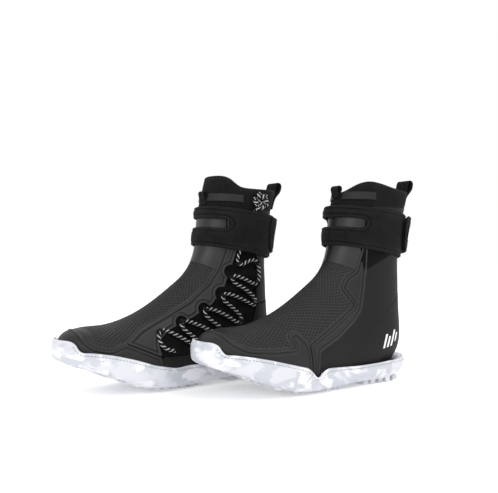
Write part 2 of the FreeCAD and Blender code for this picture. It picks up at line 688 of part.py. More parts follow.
def make_lacing(shell_space, margin_space):
    """Lace, its keepers and the knotted bundle at its upper end."""
    points = lace_points(shell_space)
    lace = cord_tube(points, CORD_DIAMETER)
    keepers = []
    for number in KEEPER_RUNS:
        start, end = points[number], points[number + 1]
        along = end - start
        along.normalize()
        foot = (start + end) * 0.5 - along * (KEEPER_LENGTH / 2)
        outer = Part.makeCylinder(KEEPER_RADII[1], KEEPER_LENGTH, foot, along)
        inner = Part.makeCylinder(KEEPER_RADII[0], KEEPER_LENGTH, foot, along)
        keepers.append(outer.cut(inner))
    lace_space = cord_tube(points, CORD_DIAMETER + 2 * KEEPER_CLEARANCE)
    keepers = Part.makeCompound(keepers).cut(margin_space).cut(lace_space)
    bundle = Part.makeSphere(1)
    scale = FreeCAD.Matrix()
    scale.scale(*BUNDLE_RADII)
    bundle = bundle.transformGeometry(scale)
    x, z = BUNDLE_CENTRE
    bundle.translate(Vector(x, surface_y(shell_space, x, z) - BUNDLE_STANDOFF, z))
    return lace, solids_of(keepers), solids_of(bundle.cut(lace))


def make_heel_mark():
    """Plain slanting strokes on the lateral side of the heel."""
    layer = upper_body(0.35).cut(upper_body(0.05))
    strokes = []
    for x, low, high in HEEL_STROKES:
        lean = STROKE_LEAN * (high - low)
        outline = ((x, low), (x + STROKE_WIDTH, low), (x + STROKE_WIDTH - lean, high), (x - lean, high))
        strokes.extend(layer.common(side_prism(outline, LATERAL)).Solids)
    return solids_of(Part.makeCompound(strokes))


# ---- assembly -------------------------------------------------------------------------
def boot_pieces():
    """Every piece of the left boot except the two that differ in the pair."""
    shell_space = upper_body(0)
    margin_space = upper_body(0.1)
    cavity_space = upper_body(SHELL_INNER)
    rubber = sole_body(0).common(side_prism(((-60, LUG_HEIGHT), (340, LUG_HEIGHT),
                                             (340, 120), (-60, 120))))
    pieces = {}
    sole = make_sole(rubber, margin_space)
    pieces["outsole"], pieces["midsole"], pieces["tread_lugs"] = sole
    pieces.update(make_lining())
    pieces.update(make_shell(shell_space, cavity_space))
    pieces["collar_bar"] = make_collar_bar()
    pieces["loop_tab"] = make_loop_tab()
    pieces["ankle_strap"], pieces["loop_patch"] = make_strap()
    pieces["strap_flap"], pieces["hook_patch"], pieces["flap_label"] = make_flap()
    pieces["heel_loop"] = make_heel_loop()
    lacing = make_lacing(shell_space, margin_space)
    pieces["lace"], pieces["lace_keepers"], pieces["lace_bundle"] = lacing
    pieces["heel_mark"] = make_heel_mark()
    return pieces


def as_right(shape):
    """A left boot's shape as the right boot's, in its place beside and ahead."""
    turned = shape.mirror(Vector(0, 0, 0), Vector(0, 1, 0))
    turned.rotate(Vector(0, 0, 0), Vector(0, 0, 1), RIGHT_TURN)
    turned.translate(Vector(RIGHT_AHEAD, RIGHT_ASIDE, 0))
    return turned


def pair_pieces():
    """Both boots' pieces about the pair's origin, and the shift that brought them there."""
    pieces = {}
    for name, shape in boot_pieces().items():
        pieces["left_" + name] = shape
        pieces["right_" + name] = as_right(shape)
    for name, maker in (("collar", make_collar), ("front_loop", make_front_loop)):
        pieces["left_" + name] = maker("left")
        pieces["right_" + name] = as_right(maker("right"))
    box = FreeCAD.BoundBox()
    for shape in pieces.values():
        box.add(shape.optimalBoundingBox(False))
    shift = Vector(-box.Center.x, -box.Center.y, -box.ZMin)
    for shape in pieces.values():
        shape.translate(shift)
    return pieces, shift


def main():
    os.makedirs("parts", exist_ok=True)
    pieces, shift = pair_pieces()
    print("shift", shift)
    for name, shape in sorted(pieces.items()):
        shape.exportStep("parts/" + name + ".step")
        print(name, len(shape.Solids), round(shape.Volume))


if __name__ == "__main__":
    main()
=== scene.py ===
# %% [markdown]
# # A pair of high-cut lace-up boots
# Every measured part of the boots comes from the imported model, which is loaded first and
# never moved. This file adds what the eye sees: panels with their seams and dimples, soft
# neoprene, webbing, rope, marbled rubber, light and a camera.
# %% Load the frame
import math
from functools import cache

import bpy
import numpy as np
from mathutils import Matrix, Vector
from mathutils.kdtree import KDTree


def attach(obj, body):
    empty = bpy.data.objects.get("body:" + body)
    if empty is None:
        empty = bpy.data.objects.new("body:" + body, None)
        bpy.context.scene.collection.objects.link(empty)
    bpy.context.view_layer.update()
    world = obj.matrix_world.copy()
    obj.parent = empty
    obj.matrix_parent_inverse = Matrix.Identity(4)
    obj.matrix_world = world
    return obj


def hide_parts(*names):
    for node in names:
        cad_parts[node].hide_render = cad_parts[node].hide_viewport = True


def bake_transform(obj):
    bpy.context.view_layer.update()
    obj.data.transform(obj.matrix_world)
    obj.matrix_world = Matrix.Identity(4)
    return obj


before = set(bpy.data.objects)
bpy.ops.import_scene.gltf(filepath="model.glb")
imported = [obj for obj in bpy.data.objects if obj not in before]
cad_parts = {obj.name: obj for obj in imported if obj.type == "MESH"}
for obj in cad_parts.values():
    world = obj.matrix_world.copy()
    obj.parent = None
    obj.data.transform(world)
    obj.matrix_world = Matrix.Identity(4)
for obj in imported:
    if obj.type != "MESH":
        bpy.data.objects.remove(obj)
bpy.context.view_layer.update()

MM = 0.001
print("pieces of the packed model:", len(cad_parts))

# %% [markdown]
# The boots are a mirrored pair. Everything is modelled once as a left boot in its own
# frame: x from heel to toe, +y to the outer side, z up, in millimetres. Two matrices then
# put a copy into each boot's place, so both boots stay alike to the last stitch.
# %% Places of the two boots
LEFT_HEEL = Vector((-207.48, 54.415, 0.0))
RIGHT_AHEAD = 141.0
RIGHT_ASIDE = -116.0
RIGHT_TURN = math.radians(4)
LATERAL = 1
MEDIAL = -1

to_metres = Matrix.Diagonal((MM, MM, MM, 1.0))
left_place = to_metres @ Matrix.Translation(LEFT_HEEL)
right_place = (
    left_place
    @ Matrix.Translation((RIGHT_AHEAD, RIGHT_ASIDE, 0))
    @ Matrix.Rotation(RIGHT_TURN, 4, "Z")
    @ Matrix.Diagonal((1, -1, 1, 1))
)
PLACES = {"left": left_place, "right": right_place}

# %% [markdown]
# A last is the solid foot form that a boot is built on, and a shoemaker describes it by
# its cross-sections. The same rows give a smooth skin here: each ring is a superellipse
# in a leaning plane, and a cubic spline runs through the rings from the toe to the top.
# A grid laid on that skin is the start of every panel.
# %% The last's cross-sections
# ridge (x, z), sole point (x, z), lateral and medial half width, share of the height
# where it is widest, roundness of the lower and of the upper half
SECTIONS = (
    ((294, 65), (293, 52), 11, 10, 0.50, 2.4, 2.2),
    ((289.5, 73), (285.5, 46.5), 24, 23, 0.45, 2.6, 2.2),
    ((280, 78.5), (273, 42), 35, 34, 0.42, 3.0, 2.2),
    ((260, 82), (250, 35), 44, 43, 0.40, 3.4, 2.3),
    ((236, 83), (222, 24), 50, 48, 0.36, 3.6, 2.3),
    ((211, 89), (188, 14.5), 51, 48, 0.33, 3.6, 2.2),
    ((187, 100), (152, 11.5), 47, 44, 0.30, 3.4, 2.1),
    ((163, 115), (112, 12.5), 42, 40, 0.30, 3.2, 2.1),
    ((144, 129), (70, 15), 38, 36.5, 0.30, 3.0, 2.1),
    ((129, 141), (28, 19), 36.5, 35, 0.33, 2.6, 2.1),
    ((118, 153), (1, 42), 36.5, 35, 0.40, 2.3, 2.2),
    ((110.5, 166), (-1, 85), 36, 35, 0.44, 2.2, 2.2),
    ((105.5, 181), (2, 128), 37, 36, 0.46, 2.2, 2.2),
    ((102.5, 199), (4, 165), 39, 38, 0.48, 2.2, 2.2),
    ((100, 221), (1, 200), 41, 40, 0.48, 2.2, 2.2),
    ((95, 243), (-8, 238), 42.5, 41.5, 0.48, 2.2, 2.2),
    ((88, 268), (-15, 264), 44, 43, 0.48, 2.2, 2.2),
    ((81, 294), (-22, 290), 45, 44, 0.48, 2.2, 2.2),
)
DENSE = 2880


def ring_outline(section):
    """One cross-section as a dense closed ring: angle 0 is the ridge, half a turn the sole."""
    ridge, low, lateral, medial, widest, lower, upper = section
    angle = np.linspace(-math.pi, math.pi, DENSE + 1)
    side, tall = np.sin(angle), np.cos(angle)
    power = np.where(tall < 0, lower, upper)
    half = np.where(side > 0, lateral, medial)
    y = np.sign(side) * np.abs(side) ** (2 / power) * half
    rise = np.abs(tall) ** (2 / power)
    share = np.where(tall < 0, widest * (1 - rise), widest + (1 - widest) * rise)
    x = low[0] + (ridge[0] - low[0]) * share
    z = low[1] + (ridge[1] - low[1]) * share
    return np.stack([x, y, z], axis=1)


def ring_at(section, turns):
    """Points of a ring at shares of its length, from -0.5 (sole) over 0 (ridge) to 0.5."""
    ring = ring_outline(section)
    middle = DENSE // 2
    steps = np.r_[0, np.cumsum(np.linalg.norm(np.diff(ring, axis=0), axis=1))]
    place = steps - steps[middle]
    share = np.where(place < 0, 0.5 * place / -place[0], 0.5 * place / place[-1])
    return np.stack([np.interp(turns, share, ring[:, k]) for k in range(3)], axis=1)


def spline(places, rows, at):
    """Natural cubic spline through rows, read at other places."""
    gaps = np.diff(places)
    count = len(places)
    system = np.eye(count)
    right = np.zeros(rows.shape)
    for i in range(1, count - 1):
        system[i, i - 1 : i + 2] = gaps[i - 1], 2 * (gaps[i - 1] + gaps[i]), gaps[i]
        right[i] = 6 * ((rows[i + 1] - rows[i]) / gaps[i] - (rows[i] - rows[i - 1]) / gaps[i - 1])
    bend = np.linalg.solve(system, right)
    k = np.clip(np.searchsorted(places, at) - 1, 0, count - 2)
    gap = gaps[k][:, None]
    before = (places[k + 1] - at)[:, None] / gap
    after = 1 - before
    curve = (before**3 - before) * bend[k] + (after**3 - after) * bend[k + 1]
    return before * rows[k] + after * rows[k + 1] + curve * gap * gap / 6


@cache
def row_places(sections):
    """Mean distance from ring to ring, added up from the toe."""
    turns = np.linspace(-0.5, 0.5, 73)
    rings = np.array([ring_at(section, turns) for section in sections])
    gaps = np.linalg.norm(np.diff(rings, axis=0), axis=2).mean(axis=1)
    return np.r_[0, np.cumsum(gaps)]


def skin(along, turns, sections=SECTIONS):
    """Skin points and outward normals on a grid: along from the toe in mm, turns -0.5 to 0.5."""
    rings = np.array([ring_at(section, turns) for section in sections])
    flat = spline(row_places(sections), rings.reshape(len(sections), -1), along)
    points = flat.reshape(len(along), len(turns), 3)
    down = np.gradient(points, axis=0)
    around = np.gradient(points, axis=1)
    normals = np.cross(around, down)
    normals /= np.maximum(np.linalg.norm(normals, axis=2), 1e-9)[:, :, None]
    return points, normals


print("skin length %.0f mm" % row_places(SECTIONS)[-1])

# %% [markdown]
# Panels of a real upper are cut flat along drawn outlines. The outlines here are drawn in
# the side view. Cutting their corners a few times rounds them the way a pattern knife
# would, and a signed distance to the outline says how far inside a panel a point lies:
# it trims the grid, and it shapes the rolled edge, the piping and the stitch lines.
# %% Outlines and distances
CORNER_CUTS = (1.0, 0.45, 0.2)
FAR = 50.0


def rounded(outline, reach):
    """Closed outline with its corners cut in turn, at most at a quarter of a side."""
    points = np.array(outline, float)
    for shrink in CORNER_CUTS:
        following = np.roll(points, -1, axis=0)
        run = following - points
        length = np.maximum(np.linalg.norm(run, axis=1, keepdims=True), 1e-9)
        cut = np.minimum(0.25, reach * shrink / length) * run
        points = np.stack([points + cut, following - cut], 1).reshape(-1, 2)
    return points


def segment_gaps(x, z, starts, ends):
    """Distance in the side view from points to the nearest of some straight segments."""
    nearest = np.full(x.shape, 1e9)
    for start, end in zip(starts, ends):
        run = end - start
        share = ((x - start[0]) * run[0] + (z - start[1]) * run[1]) / max(run @ run, 1e-9)
        share = np.clip(share, 0, 1)
        gap = np.hypot(x - start[0] - share * run[0], z - start[1] - share * run[1])
        nearest = np.minimum(nearest, gap)
    return nearest


def outline_distance(x, z, outline):
    """Signed distance to a closed outline, negative inside."""
    following = np.roll(outline, -1, axis=0)
    inside = np.zeros(x.shape, bool)
    for start, end in zip(outline, following):
        if start[1] == end[1]:
            continue
        crosses = (start[1] > z) != (end[1] > z)
        slope = (end[0] - start[0]) / (end[1] - start[1])
        inside ^= crosses & (x < slope * (z - start[1]) + start[0])
    return np.where(inside, -1, 1) * segment_gaps(x, z, outline, following)


def two_sided(lateral, medial, reach=2.2):
    """Distance function of a panel with one outline, or none, on each side of the boot."""
    sides = [None if line is None else rounded(line, reach) for line in (lateral, medial)]

    def distance(points):
        x, y, z = points[..., 0], points[..., 1], points[..., 2]
        parts = [np.full(x.shape, FAR) if side is None else outline_distance(x, z, side)
                 for side in sides]
        return np.where(y >= 0, parts[0], parts[1])
    return distance


# %% [markdown]
# A panel starts as a flat grid primitive. Its corners are laid on the skin, the faces
# outside the outline are deleted, and the cut edge is moved onto the outline so that it
# runs smoothly. Solidify gives it the thickness of its film, inwards.
# %% Panel maker
def select_none():
    """Everything is deselected before an operator is used."""
    if bpy.context.mode != "OBJECT":
        bpy.ops.object.mode_set(mode="OBJECT")
    bpy.ops.object.select_all(action="DESELECT")


def activate(piece):
    """One piece alone is selected and active."""
    select_none()
    piece.select_set(True)
    bpy.context.view_layer.objects.active = piece


def shade_smooth(mesh):
    """Every face of a mesh is shaded smoothly."""
    mesh.polygons.foreach_set("use_smooth", np.ones(len(mesh.polygons), bool))


def grid_object(name, points):
    """Grid primitive whose corners are moved to an array of points, rows by columns."""
    rows, columns = points.shape[:2]
    select_none()
    bpy.ops.mesh.primitive_grid_add(x_subdivisions=columns - 1, y_subdivisions=rows - 1, size=1)
    piece = bpy.context.object
    piece.name = name
    piece.data.vertices.foreach_set("co", points.astype(np.float32).ravel())
    piece.data.update()
    return piece


def merge(piece, gap=0.005):
    """Corners that lie together become one."""
    activate(piece)
    bpy.ops.object.mode_set(mode="EDIT")
    bpy.ops.mesh.select_all(action="SELECT")
    bpy.ops.mesh.remove_doubles(threshold=gap)
    bpy.ops.object.mode_set(mode="OBJECT")


def keep_faces(piece, wanted):
    """Deletes the faces that aren't wanted, and the corners that only they used."""
    activate(piece)
    bpy.ops.object.mode_set(mode="EDIT")
    bpy.ops.mesh.select_all(action="DESELECT")
    bpy.ops.object.mode_set(mode="OBJECT")
    piece.data.polygons.foreach_set("select", ~wanted)
    bpy.ops.object.mode_set(mode="EDIT")
    bpy.ops.mesh.select_mode(type="FACE")
    bpy.ops.mesh.delete(type="FACE")
    bpy.ops.mesh.select_mode(type="VERT")
    bpy.ops.object.mode_set(mode="OBJECT")


def apply_modifier(piece, kind, **settings):
    """Adds a modifier, sets it and applies it."""
    activate(piece)
    modifier = piece.modifiers.new(kind.title(), kind)
    for key, value in settings.items():
        setattr(modifier, key, value)
    bpy.ops.object.modifier_apply(modifier=modifier.name)


def set_uv(piece, along, around):
    """UV map in metres over the surface: first round the boot, then along it."""
    layer = piece.data.uv_layers.active or piece.data.uv_layers.new(name="surface")
    corner = np.zeros(len(piece.data.loops), np.int32)
    piece.data.loops.foreach_get("vertex_index", corner)
    uv = np.stack([around.ravel()[corner], along.ravel()[corner]], axis=1) * MM
    layer.data.foreach_set("uv", uv.astype(np.float32).ravel())


WINDOW_MARGIN = 3.0
SNAP_LIMIT = 2.5
RELIEF_SCALE = 0.35
# Painted shade in the pressed lines and painted highlight on the raised ones, as shares of the
# relief's fine detail.
PAINTED_SHADE_SHARE = 0.85
PAINTED_HIGHLIGHT_SHARE = 0.7


def find_window(distance, sections):
    """Part of the skin, along and round, that a distance function covers."""
    along = np.linspace(0, row_places(sections)[-1], 160)
    turns = np.linspace(-0.5, 0.5, 241)
    points, _ = skin(along, turns, sections)
    inside = distance(points) < WINDOW_MARGIN
    rows = np.where(inside.any(axis=1))[0]
    columns = np.where(inside.any(axis=0))[0]
    low, high = max(rows[0] - 1, 0), min(rows[-1] + 1, len(along) - 1)
    left, right = max(columns[0] - 1, 0), min(columns[-1] + 1, len(turns) - 1)
    return along[low], along[high], turns[left], turns[right]


def snapped(points, normals, distance, edge):
    """Corners on the cut edge moved along the skin onto the outline."""
    moved = points.copy()
    step = 0.05
    for _ in range(2):
        here = distance(moved)[edge]
        slope = np.zeros((len(here), 3))
        for axis in (0, 2):
            shift = moved.copy()
            shift[..., axis] += step
            slope[:, axis] = (distance(shift)[edge] - here) / step
        n = normals[edge]
        slope -= (slope * n).sum(1, keepdims=True) * n
        size = np.maximum((slope**2).sum(1), 0.15)
        moved[edge] -= np.clip(here / size, -SNAP_LIMIT, SNAP_LIMIT)[:, None] * slope
    return moved


def softened(values, reach=4):
    """Box mean of a grid of values, over a square of cells."""
    for axis in (0, 1):
        padded = np.concatenate([np.repeat(values.take([0], axis), reach + 1, axis), values,
                                 np.repeat(values.take([-1], axis), reach, axis)], axis)
        total = np.cumsum(padded, axis)
        count = values.shape[axis]
        values = (total.take(range(2 * reach + 1, 2 * reach + 1 + count), axis)
                  - total.take(range(count), axis)) / (2 * reach + 1)
    return values


def panel(name, distance, pitch, height, thickness, closed=False, sections=SECTIONS, cap=False,
          wall_share=None):
    """Trimmed piece of the skin. height(inset, along, around, points) is in mm."""
    start, end, left, right = find_window(distance, sections)
    probe, _ = skin(np.linspace(start, end, 9), np.linspace(left, right, 61), sections)
    across = np.linalg.norm(np.diff(probe, axis=1), axis=2).sum(axis=1).max()
    rows = max(int((end - start) / pitch), 4)
    columns = max(int(across / pitch), 4)
    along = np.linspace(start, end, rows)
    turns = np.linspace(left, right, columns)
    points, normals = skin(along, turns, sections)
    gaps = distance(points)
    corner = gaps[:-1, :-1] + gaps[1:, :-1] + gaps[:-1, 1:] + gaps[1:, 1:]
    wanted = corner < 0
    count = np.zeros(gaps.shape)
    for i in (0, 1):
        for j in (0, 1):
            count[i : rows - 1 + i, j : columns - 1 + j] += wanted
    full = np.full(gaps.shape, 4.0)
    full[0, :] = full[-1, :] = full[:, 0] = full[:, -1] = 2.0
    edge = (count > 0) & (count < full)
    points = snapped(points, normals, distance, edge)
    inset = np.maximum(-distance(points), 0)
    inset[edge] = 0
    lengths = np.linalg.norm(np.diff(points, axis=1), axis=2)
    around = np.concatenate([np.zeros((rows, 1)), np.cumsum(lengths, axis=1)], axis=1)
    middle = np.argmin(np.abs(turns))
    around -= around[:, middle : middle + 1]
    length = np.repeat(along[:, None], columns, axis=1)
    relief = height(inset, length, around, points)
    raised = points + normals * relief[..., None]
    # The relief's fine detail is painted into the colour: painted shade where it is pressed in,
    # painted highlight where it stands up.
    detail = np.clip((relief - softened(relief)) / RELIEF_SCALE, -1, 1)
    if cap:
        raised[0, :] = raised[1].mean(axis=0)
    piece = grid_object(name, raised)
    set_uv(piece, length, around)
    # Each corner keeps this painted shade and painted highlight as a factor on the base colour.
    painted_relief_light = piece.data.attributes.new("painted_relief_light", "FLOAT", "POINT")
    shade = 1 + np.where(detail < 0, PAINTED_SHADE_SHARE, PAINTED_HIGHLIGHT_SHARE) * detail
    painted_relief_light.data.foreach_set("value", shade.astype(np.float32).ravel())
    keep_faces(piece, wanted.ravel())
    if closed:
        merge(piece)
    if wall_share:
        wall = piece.vertex_groups.new(name="wall")
        for vertex in piece.data.vertices:
            wall.add([vertex.index], wall_share(vertex.co), "REPLACE")
    apply_modifier(piece, "SOLIDIFY", thickness=thickness, offset=-1.0,
                   vertex_group="wall" if wall_share else "")
    shade_smooth(piece.data)
    print(name, "faces", len(piece.data.polygons))
    return piece


# %% [markdown]
# One finished left piece becomes two: its mesh is copied, moved into each boot's place,
# and the mirrored copy is turned right side out again. Each copy rides on its own body,
# unless it is given a fold line, and the imported nodes it replaces are hidden.
# %% Pair maker
def finish_mesh(piece, side):
    """Puts a mesh modelled in the left boot's frame into a boot's place."""
    piece.data.transform(PLACES[side])
    if side == "right":
        piece.data.flip_normals()
    piece.data.update()


def pair(piece, nodes, slot, material, body=None, sides=("left", "right"), fold=None):
    """Makes the left and the right copy of a piece, and hides the imported nodes that they replace."""
    name = piece.name
    for side in sides:
        copy = piece.copy()
        copy.data = piece.data.copy()
        copy.name = side + "_" + name + "_look"
        bpy.context.scene.collection.objects.link(copy)
        finish_mesh(copy, side)
        copy.data.materials.clear()
        copy.data.materials.append(material)
        if fold:
            start, end = [PLACES[side] @ point for point in fold]
            tuple(start)
            tuple(end)
            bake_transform(copy)
        else:
            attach(copy, "root" if body is None else side + "_" + body)
        if nodes:
            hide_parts(*[side + "_" + node for node in nodes])
    bpy.data.objects.remove(piece)


# %% [markdown]
# Finishes. Black goods differ mostly in how they scatter light: the film is satin with a
# fine grain, the shin is smoother, neoprene is nearly dead matt with a soft sheen. Each
# finish mixes its colour, roughness and bump from noise at the scale of the real grain.
# %% Material helpers
def new_material(name):
    """Empty node material with its shader and output."""
    material = bpy.data.materials.new(name)
    material.use_nodes = True
    nodes = material.node_tree.nodes
    return material, nodes, material.node_tree.links, nodes["Principled BSDF"]


def add(nodes, kind, **sockets):
    """Adds a node and sets some of its input sockets."""
    node = nodes.new(kind)
    for key, value in sockets.items():
        node.inputs[key.replace("_", " ")].default_value = value
    return node


def ramp(nodes, links, source, stops):
    """Colour ramp on a value: stops are (place, grey or colour)."""
    node = nodes.new("ShaderNodeValToRGB")
    while len(node.color_ramp.elements) < len(stops):
        node.color_ramp.elements.new(0.5)
    for element, (place, colour) in zip(node.color_ramp.elements, stops):
        element.position = place
        element.color = (colour, colour, colour, 1) if isinstance(colour, float) else (*colour, 1)
    links.new(source, node.inputs[0])
    return node


def bump_from(nodes, links, source, shader, strength, distance=0.0002):
    """Height from a value turns the shader's normal."""
    relief = add(nodes, "ShaderNodeBump", Strength=strength, Distance=distance)
    links.new(source, relief.inputs["Height"])
    links.new(relief.outputs["Normal"], shader.inputs["Normal"])


def colour_with_painted_relief_light(nodes, links, colour, shader):
    """Base colour with painted shade in the pressed lines and a painted highlight on the raised ones.
    """
    painted_relief_light = nodes.new("ShaderNodeAttribute")
    painted_relief_light.attribute_name = "painted_relief_light"
    missing = nodes.new("ShaderNodeMath")
    missing.operation = "LESS_THAN"
    missing.inputs[1].default_value = 0.01
    links.new(painted_relief_light.outputs["Fac"], missing.inputs[0])
    factor = nodes.new("ShaderNodeMath")
    links.new(painted_relief_light.outputs["Fac"], factor.inputs[0])
    links.new(missing.outputs[0], factor.inputs[1])
    scaled = nodes.new("ShaderNodeVectorMath")
    scaled.operation = "SCALE"
    links.new(colour, scaled.inputs[0])
    links.new(factor.outputs[0], scaled.inputs["Scale"])
    links.new(scaled.outputs[0], shader.inputs["Base Color"])


def film(name, dark, light, rough, grain=900.0, bump=0.25, gloss=0.3):
    """Moulded polymer film: two close greys, fine grain, satin shine."""
    material, nodes, links, shader = new_material(name)
    place = nodes.new("ShaderNodeTexCoord")
    cloud = add(nodes, "ShaderNodeTexNoise", Scale=28.0, Detail=5.0)
    fine = add(nodes, "ShaderNodeTexNoise", Scale=grain, Detail=3.0)
    for node in (cloud, fine):
        links.new(place.outputs["Object"], node.inputs["Vector"])
    colour = ramp(nodes, links, cloud.outputs["Fac"], ((0.3, dark), (0.7, light)))
    # The colour takes the relief's painted shade and painted highlight.
    colour_with_painted_relief_light(nodes, links, colour.outputs[0], shader)
    shine = ramp(nodes, links, cloud.outputs["Fac"], ((0.3, rough - 0.05), (0.7, rough + 0.06)))
    links.new(shine.outputs[0], shader.inputs["Roughness"])
    bump_from(nodes, links, fine.outputs["Fac"], shader, bump)
    shader.inputs["Specular IOR Level"].default_value = gloss
    return material


def knit(name, dark, light, ribs=420.0, sheen=0.02, rough=0.9, bump=0.6):
    """Knit-faced neoprene: fine ribs along the piece, slightly uneven, with a soft sheen."""
    material, nodes, links, shader = new_material(name)
    place = nodes.new("ShaderNodeUVMap")
    rib = add(nodes, "ShaderNodeTexWave", Scale=ribs / (2 * math.pi), Distortion=0.6, Detail=2.0)
    rib.bands_direction = "X"
    stitch = add(nodes, "ShaderNodeTexWave", Scale=ribs / 4.0, Distortion=0.4, Detail=1.0)
    stitch.bands_direction = "Y"
    cloud = add(nodes, "ShaderNodeTexNoise", Scale=60.0, Detail=4.0)
    for node in (rib, stitch, cloud):
        links.new(place.outputs["UV"], node.inputs["Vector"])
    mixed = nodes.new("ShaderNodeMath")
    mixed.operation = "MULTIPLY_ADD"
    mixed.inputs[1].default_value = 0.4
    links.new(stitch.outputs["Fac"], mixed.inputs[0])
    links.new(rib.outputs["Fac"], mixed.inputs[2])
    colour = ramp(nodes, links, cloud.outputs["Fac"], ((0.3, dark), (0.75, light)))
    # The colour takes the relief's painted shade and painted highlight.
    colour_with_painted_relief_light(nodes, links, colour.outputs[0], shader)
    bump_from(nodes, links, mixed.outputs[0], shader, bump, 0.0003)
    shader.inputs["Roughness"].default_value = rough
    shader.inputs["Specular IOR Level"].default_value = 0.12
    shader.inputs["Sheen Weight"].default_value = sheen
    shader.inputs["Sheen Roughness"].default_value = 0.5
    return material


def marbled_rubber(name):
    """White rubber with soft-edged patches of two greys pressed into it."""
    material, nodes, links, shader = new_material(name)
    place = nodes.new("ShaderNodeTexCoord")
    stretch = nodes.new("ShaderNodeMapping")
    stretch.inputs["Scale"].default_value = (1.0, 1.0, 1.7)
    links.new(place.outputs["Object"], stretch.inputs["Vector"])
    patch = add(nodes, "ShaderNodeTexNoise", Scale=40.0, Detail=3.0, Roughness=0.5, Distortion=0.7)
    other = add(nodes, "ShaderNodeTexNoise", Scale=30.0, Detail=2.0, Roughness=0.5, Distortion=0.5)
    fine = add(nodes, "ShaderNodeTexNoise", Scale=1400.0, Detail=2.0)
    for node in (patch, other, fine):
        links.new(stretch.outputs["Vector"], node.inputs["Vector"])
    pale = ramp(nodes, links, patch.outputs["Fac"],
                ((0.44, (0.74, 0.74, 0.77)), (0.52, (0.50, 0.52, 0.57))))
    mask = ramp(nodes, links, other.outputs["Fac"], ((0.50, 0.0), (0.60, 1.0)))
    deep = nodes.new("ShaderNodeMix")
    deep.data_type = "RGBA"
    deep.inputs["B"].default_value = (0.62, 0.63, 0.67, 1)
    links.new(mask.outputs[0], deep.inputs["Factor"])
    links.new(pale.outputs[0], deep.inputs["A"])
    links.new(deep.outputs["Result"], shader.inputs["Base Color"])
    bump_from(nodes, links, fine.outputs["Fac"], shader, 0.15)
    shader.inputs["Roughness"].default_value = 0.55
    return material


# %% Finishes of the boots
vamp_film = film("dimpled_film", 0.010, 0.016, 0.50, bump=0.2, gloss=0.3)
shin_film = film("shin_film", 0.008, 0.013, 0.38, bump=0.12, gloss=0.42)
rand_film = film("rand_film", 0.008, 0.013, 0.50)
quarter_film = film("quarter_film", 0.005, 0.009, 0.58, gloss=0.2)
rail_film = film("rail_film", 0.011, 0.017, 0.50, gloss=0.32)
bootie_neoprene = knit("bootie_neoprene", 0.0018, 0.0035)
collar_knit = knit("collar_knit", 0.0050, 0.0085, ribs=300.0)
strap_neoprene = knit("strap_neoprene", 0.0045, 0.0080, ribs=500.0)
webbing_black = knit("webbing_black", 0.005, 0.009, ribs=900.0, bump=0.9)
sole_rubber = marbled_rubber("marbled_rubber")
grey_rubber = film("bar_rubber", 0.006, 0.010, 0.5, gloss=0.3)
board_fibre = film("board_fibre", 0.30, 0.36, 0.8)
foam_white = film("foam_white", 0.55, 0.62, 0.9)
tape_fuzz = film("tape_fuzz", 0.010, 0.016, 0.95, grain=2600.0, bump=0.8)
mark_white = film("mark_white", 0.75, 0.82, 0.55)

CAD_FINISH = {
    "outsole": sole_rubber, "tread_lugs": sole_rubber, "midsole": foam_white,
    "insole_board": board_fibre, "footbed": bootie_neoprene, "heel_stiffener": board_fibre,
    "toe_puff": board_fibre, "bootie": bootie_neoprene, "collar": collar_knit,
    "vamp": vamp_film, "shin_panel": shin_film, "toe_rand": rand_film,
    "lateral_quarter": rand_film, "rear_quarter": quarter_film,
    "heel_counter": quarter_film, "medial_rail": rail_film,
    "medial_heel_panel": quarter_film, "collar_bar": grey_rubber, "loop_tab": webbing_black,
    "ankle_strap": strap_neoprene, "loop_patch": tape_fuzz, "strap_flap": strap_neoprene,
    "hook_patch": tape_fuzz, "flap_label": mark_white, "heel_loop": webbing_black,
    "front_loop": webbing_black, "lace": webbing_black, "lace_keepers": webbing_black,
    "lace_bundle": webbing_black, "heel_mark": mark_white,
}
for side in PLACES:
    for node, finish in CAD_FINISH.items():
        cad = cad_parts[side + "_" + node]
        cad.data.materials.clear()
        cad.data.materials.append(finish)

# %% [markdown]
# The shell's outlines, in the side view. Neighbouring panels share their lines, so a
# seam is drawn once and used twice.
# %% Seam lines
LATERAL_SEAM = ((80, 228), (80, 178), (88, 149), (100, 142), (108, 127), (91, 104),
                (113, 89), (138, 75), (168, 60))
LATERAL_TAB = ((184, 78), (199, 73), (190, 59))
LATERAL_RAND = ((225, 59), (253, 61), (265, 67), (273, 75), (282, 90))
SIDE_SEAM = ((72, 228), (72, 150), (75, 125), (80, 97), (92, 83), (118, 65), (152, 50))
COUNTER_SEAM = ((-30, 121), (10, 118), (27, 107), (53, 89), (74, 63), (94, 50), (125, 20))
VAMP_EDGE = ((83, 228), (83, 176), (91, 152), (104, 132), (130, 111), (167, 94),
             (205, 78), (228, 64))
MEDIAL_RAND = ((248, 57), (265, 61), (273, 68), (282, 90))
WINDOW_FRONT = ((62, 228), (64, 178), (72, 150), (82, 125), (100, 103), (130, 88),
                (165, 75), (184, 62), (180, 43))
WINDOW_FLOOR = ((150, 42), (110, 46), (84, 54), (60, 60))
WINDOW_BACK = ((37, 80), (30, 104), (30, 130), (33, 178), (34, 228))
RAIL_CUTOUTS = ((73, 147), (86, 118), (112, 98), (147, 83))
CUTOUT_RADIUS = 8
SHIN_EDGE = ((130, 172), (87, 153))
TOE_OUT = (330, 90)
VAMP_OUT = (330, 172)
BACK = -45
SOLE_TUCK = 12
FOXING_TOE = ((320, 70), (287, 70), (282, 56))
FOXING_LATERAL = ((272, 56), (252, 53), (228, 48), (203, 41.5), (173, 33.5), (160, 18.5),
                  (147, 31), (93, 28.5), (55, 29), (20, 31), (-10, 36), (-30, 37))
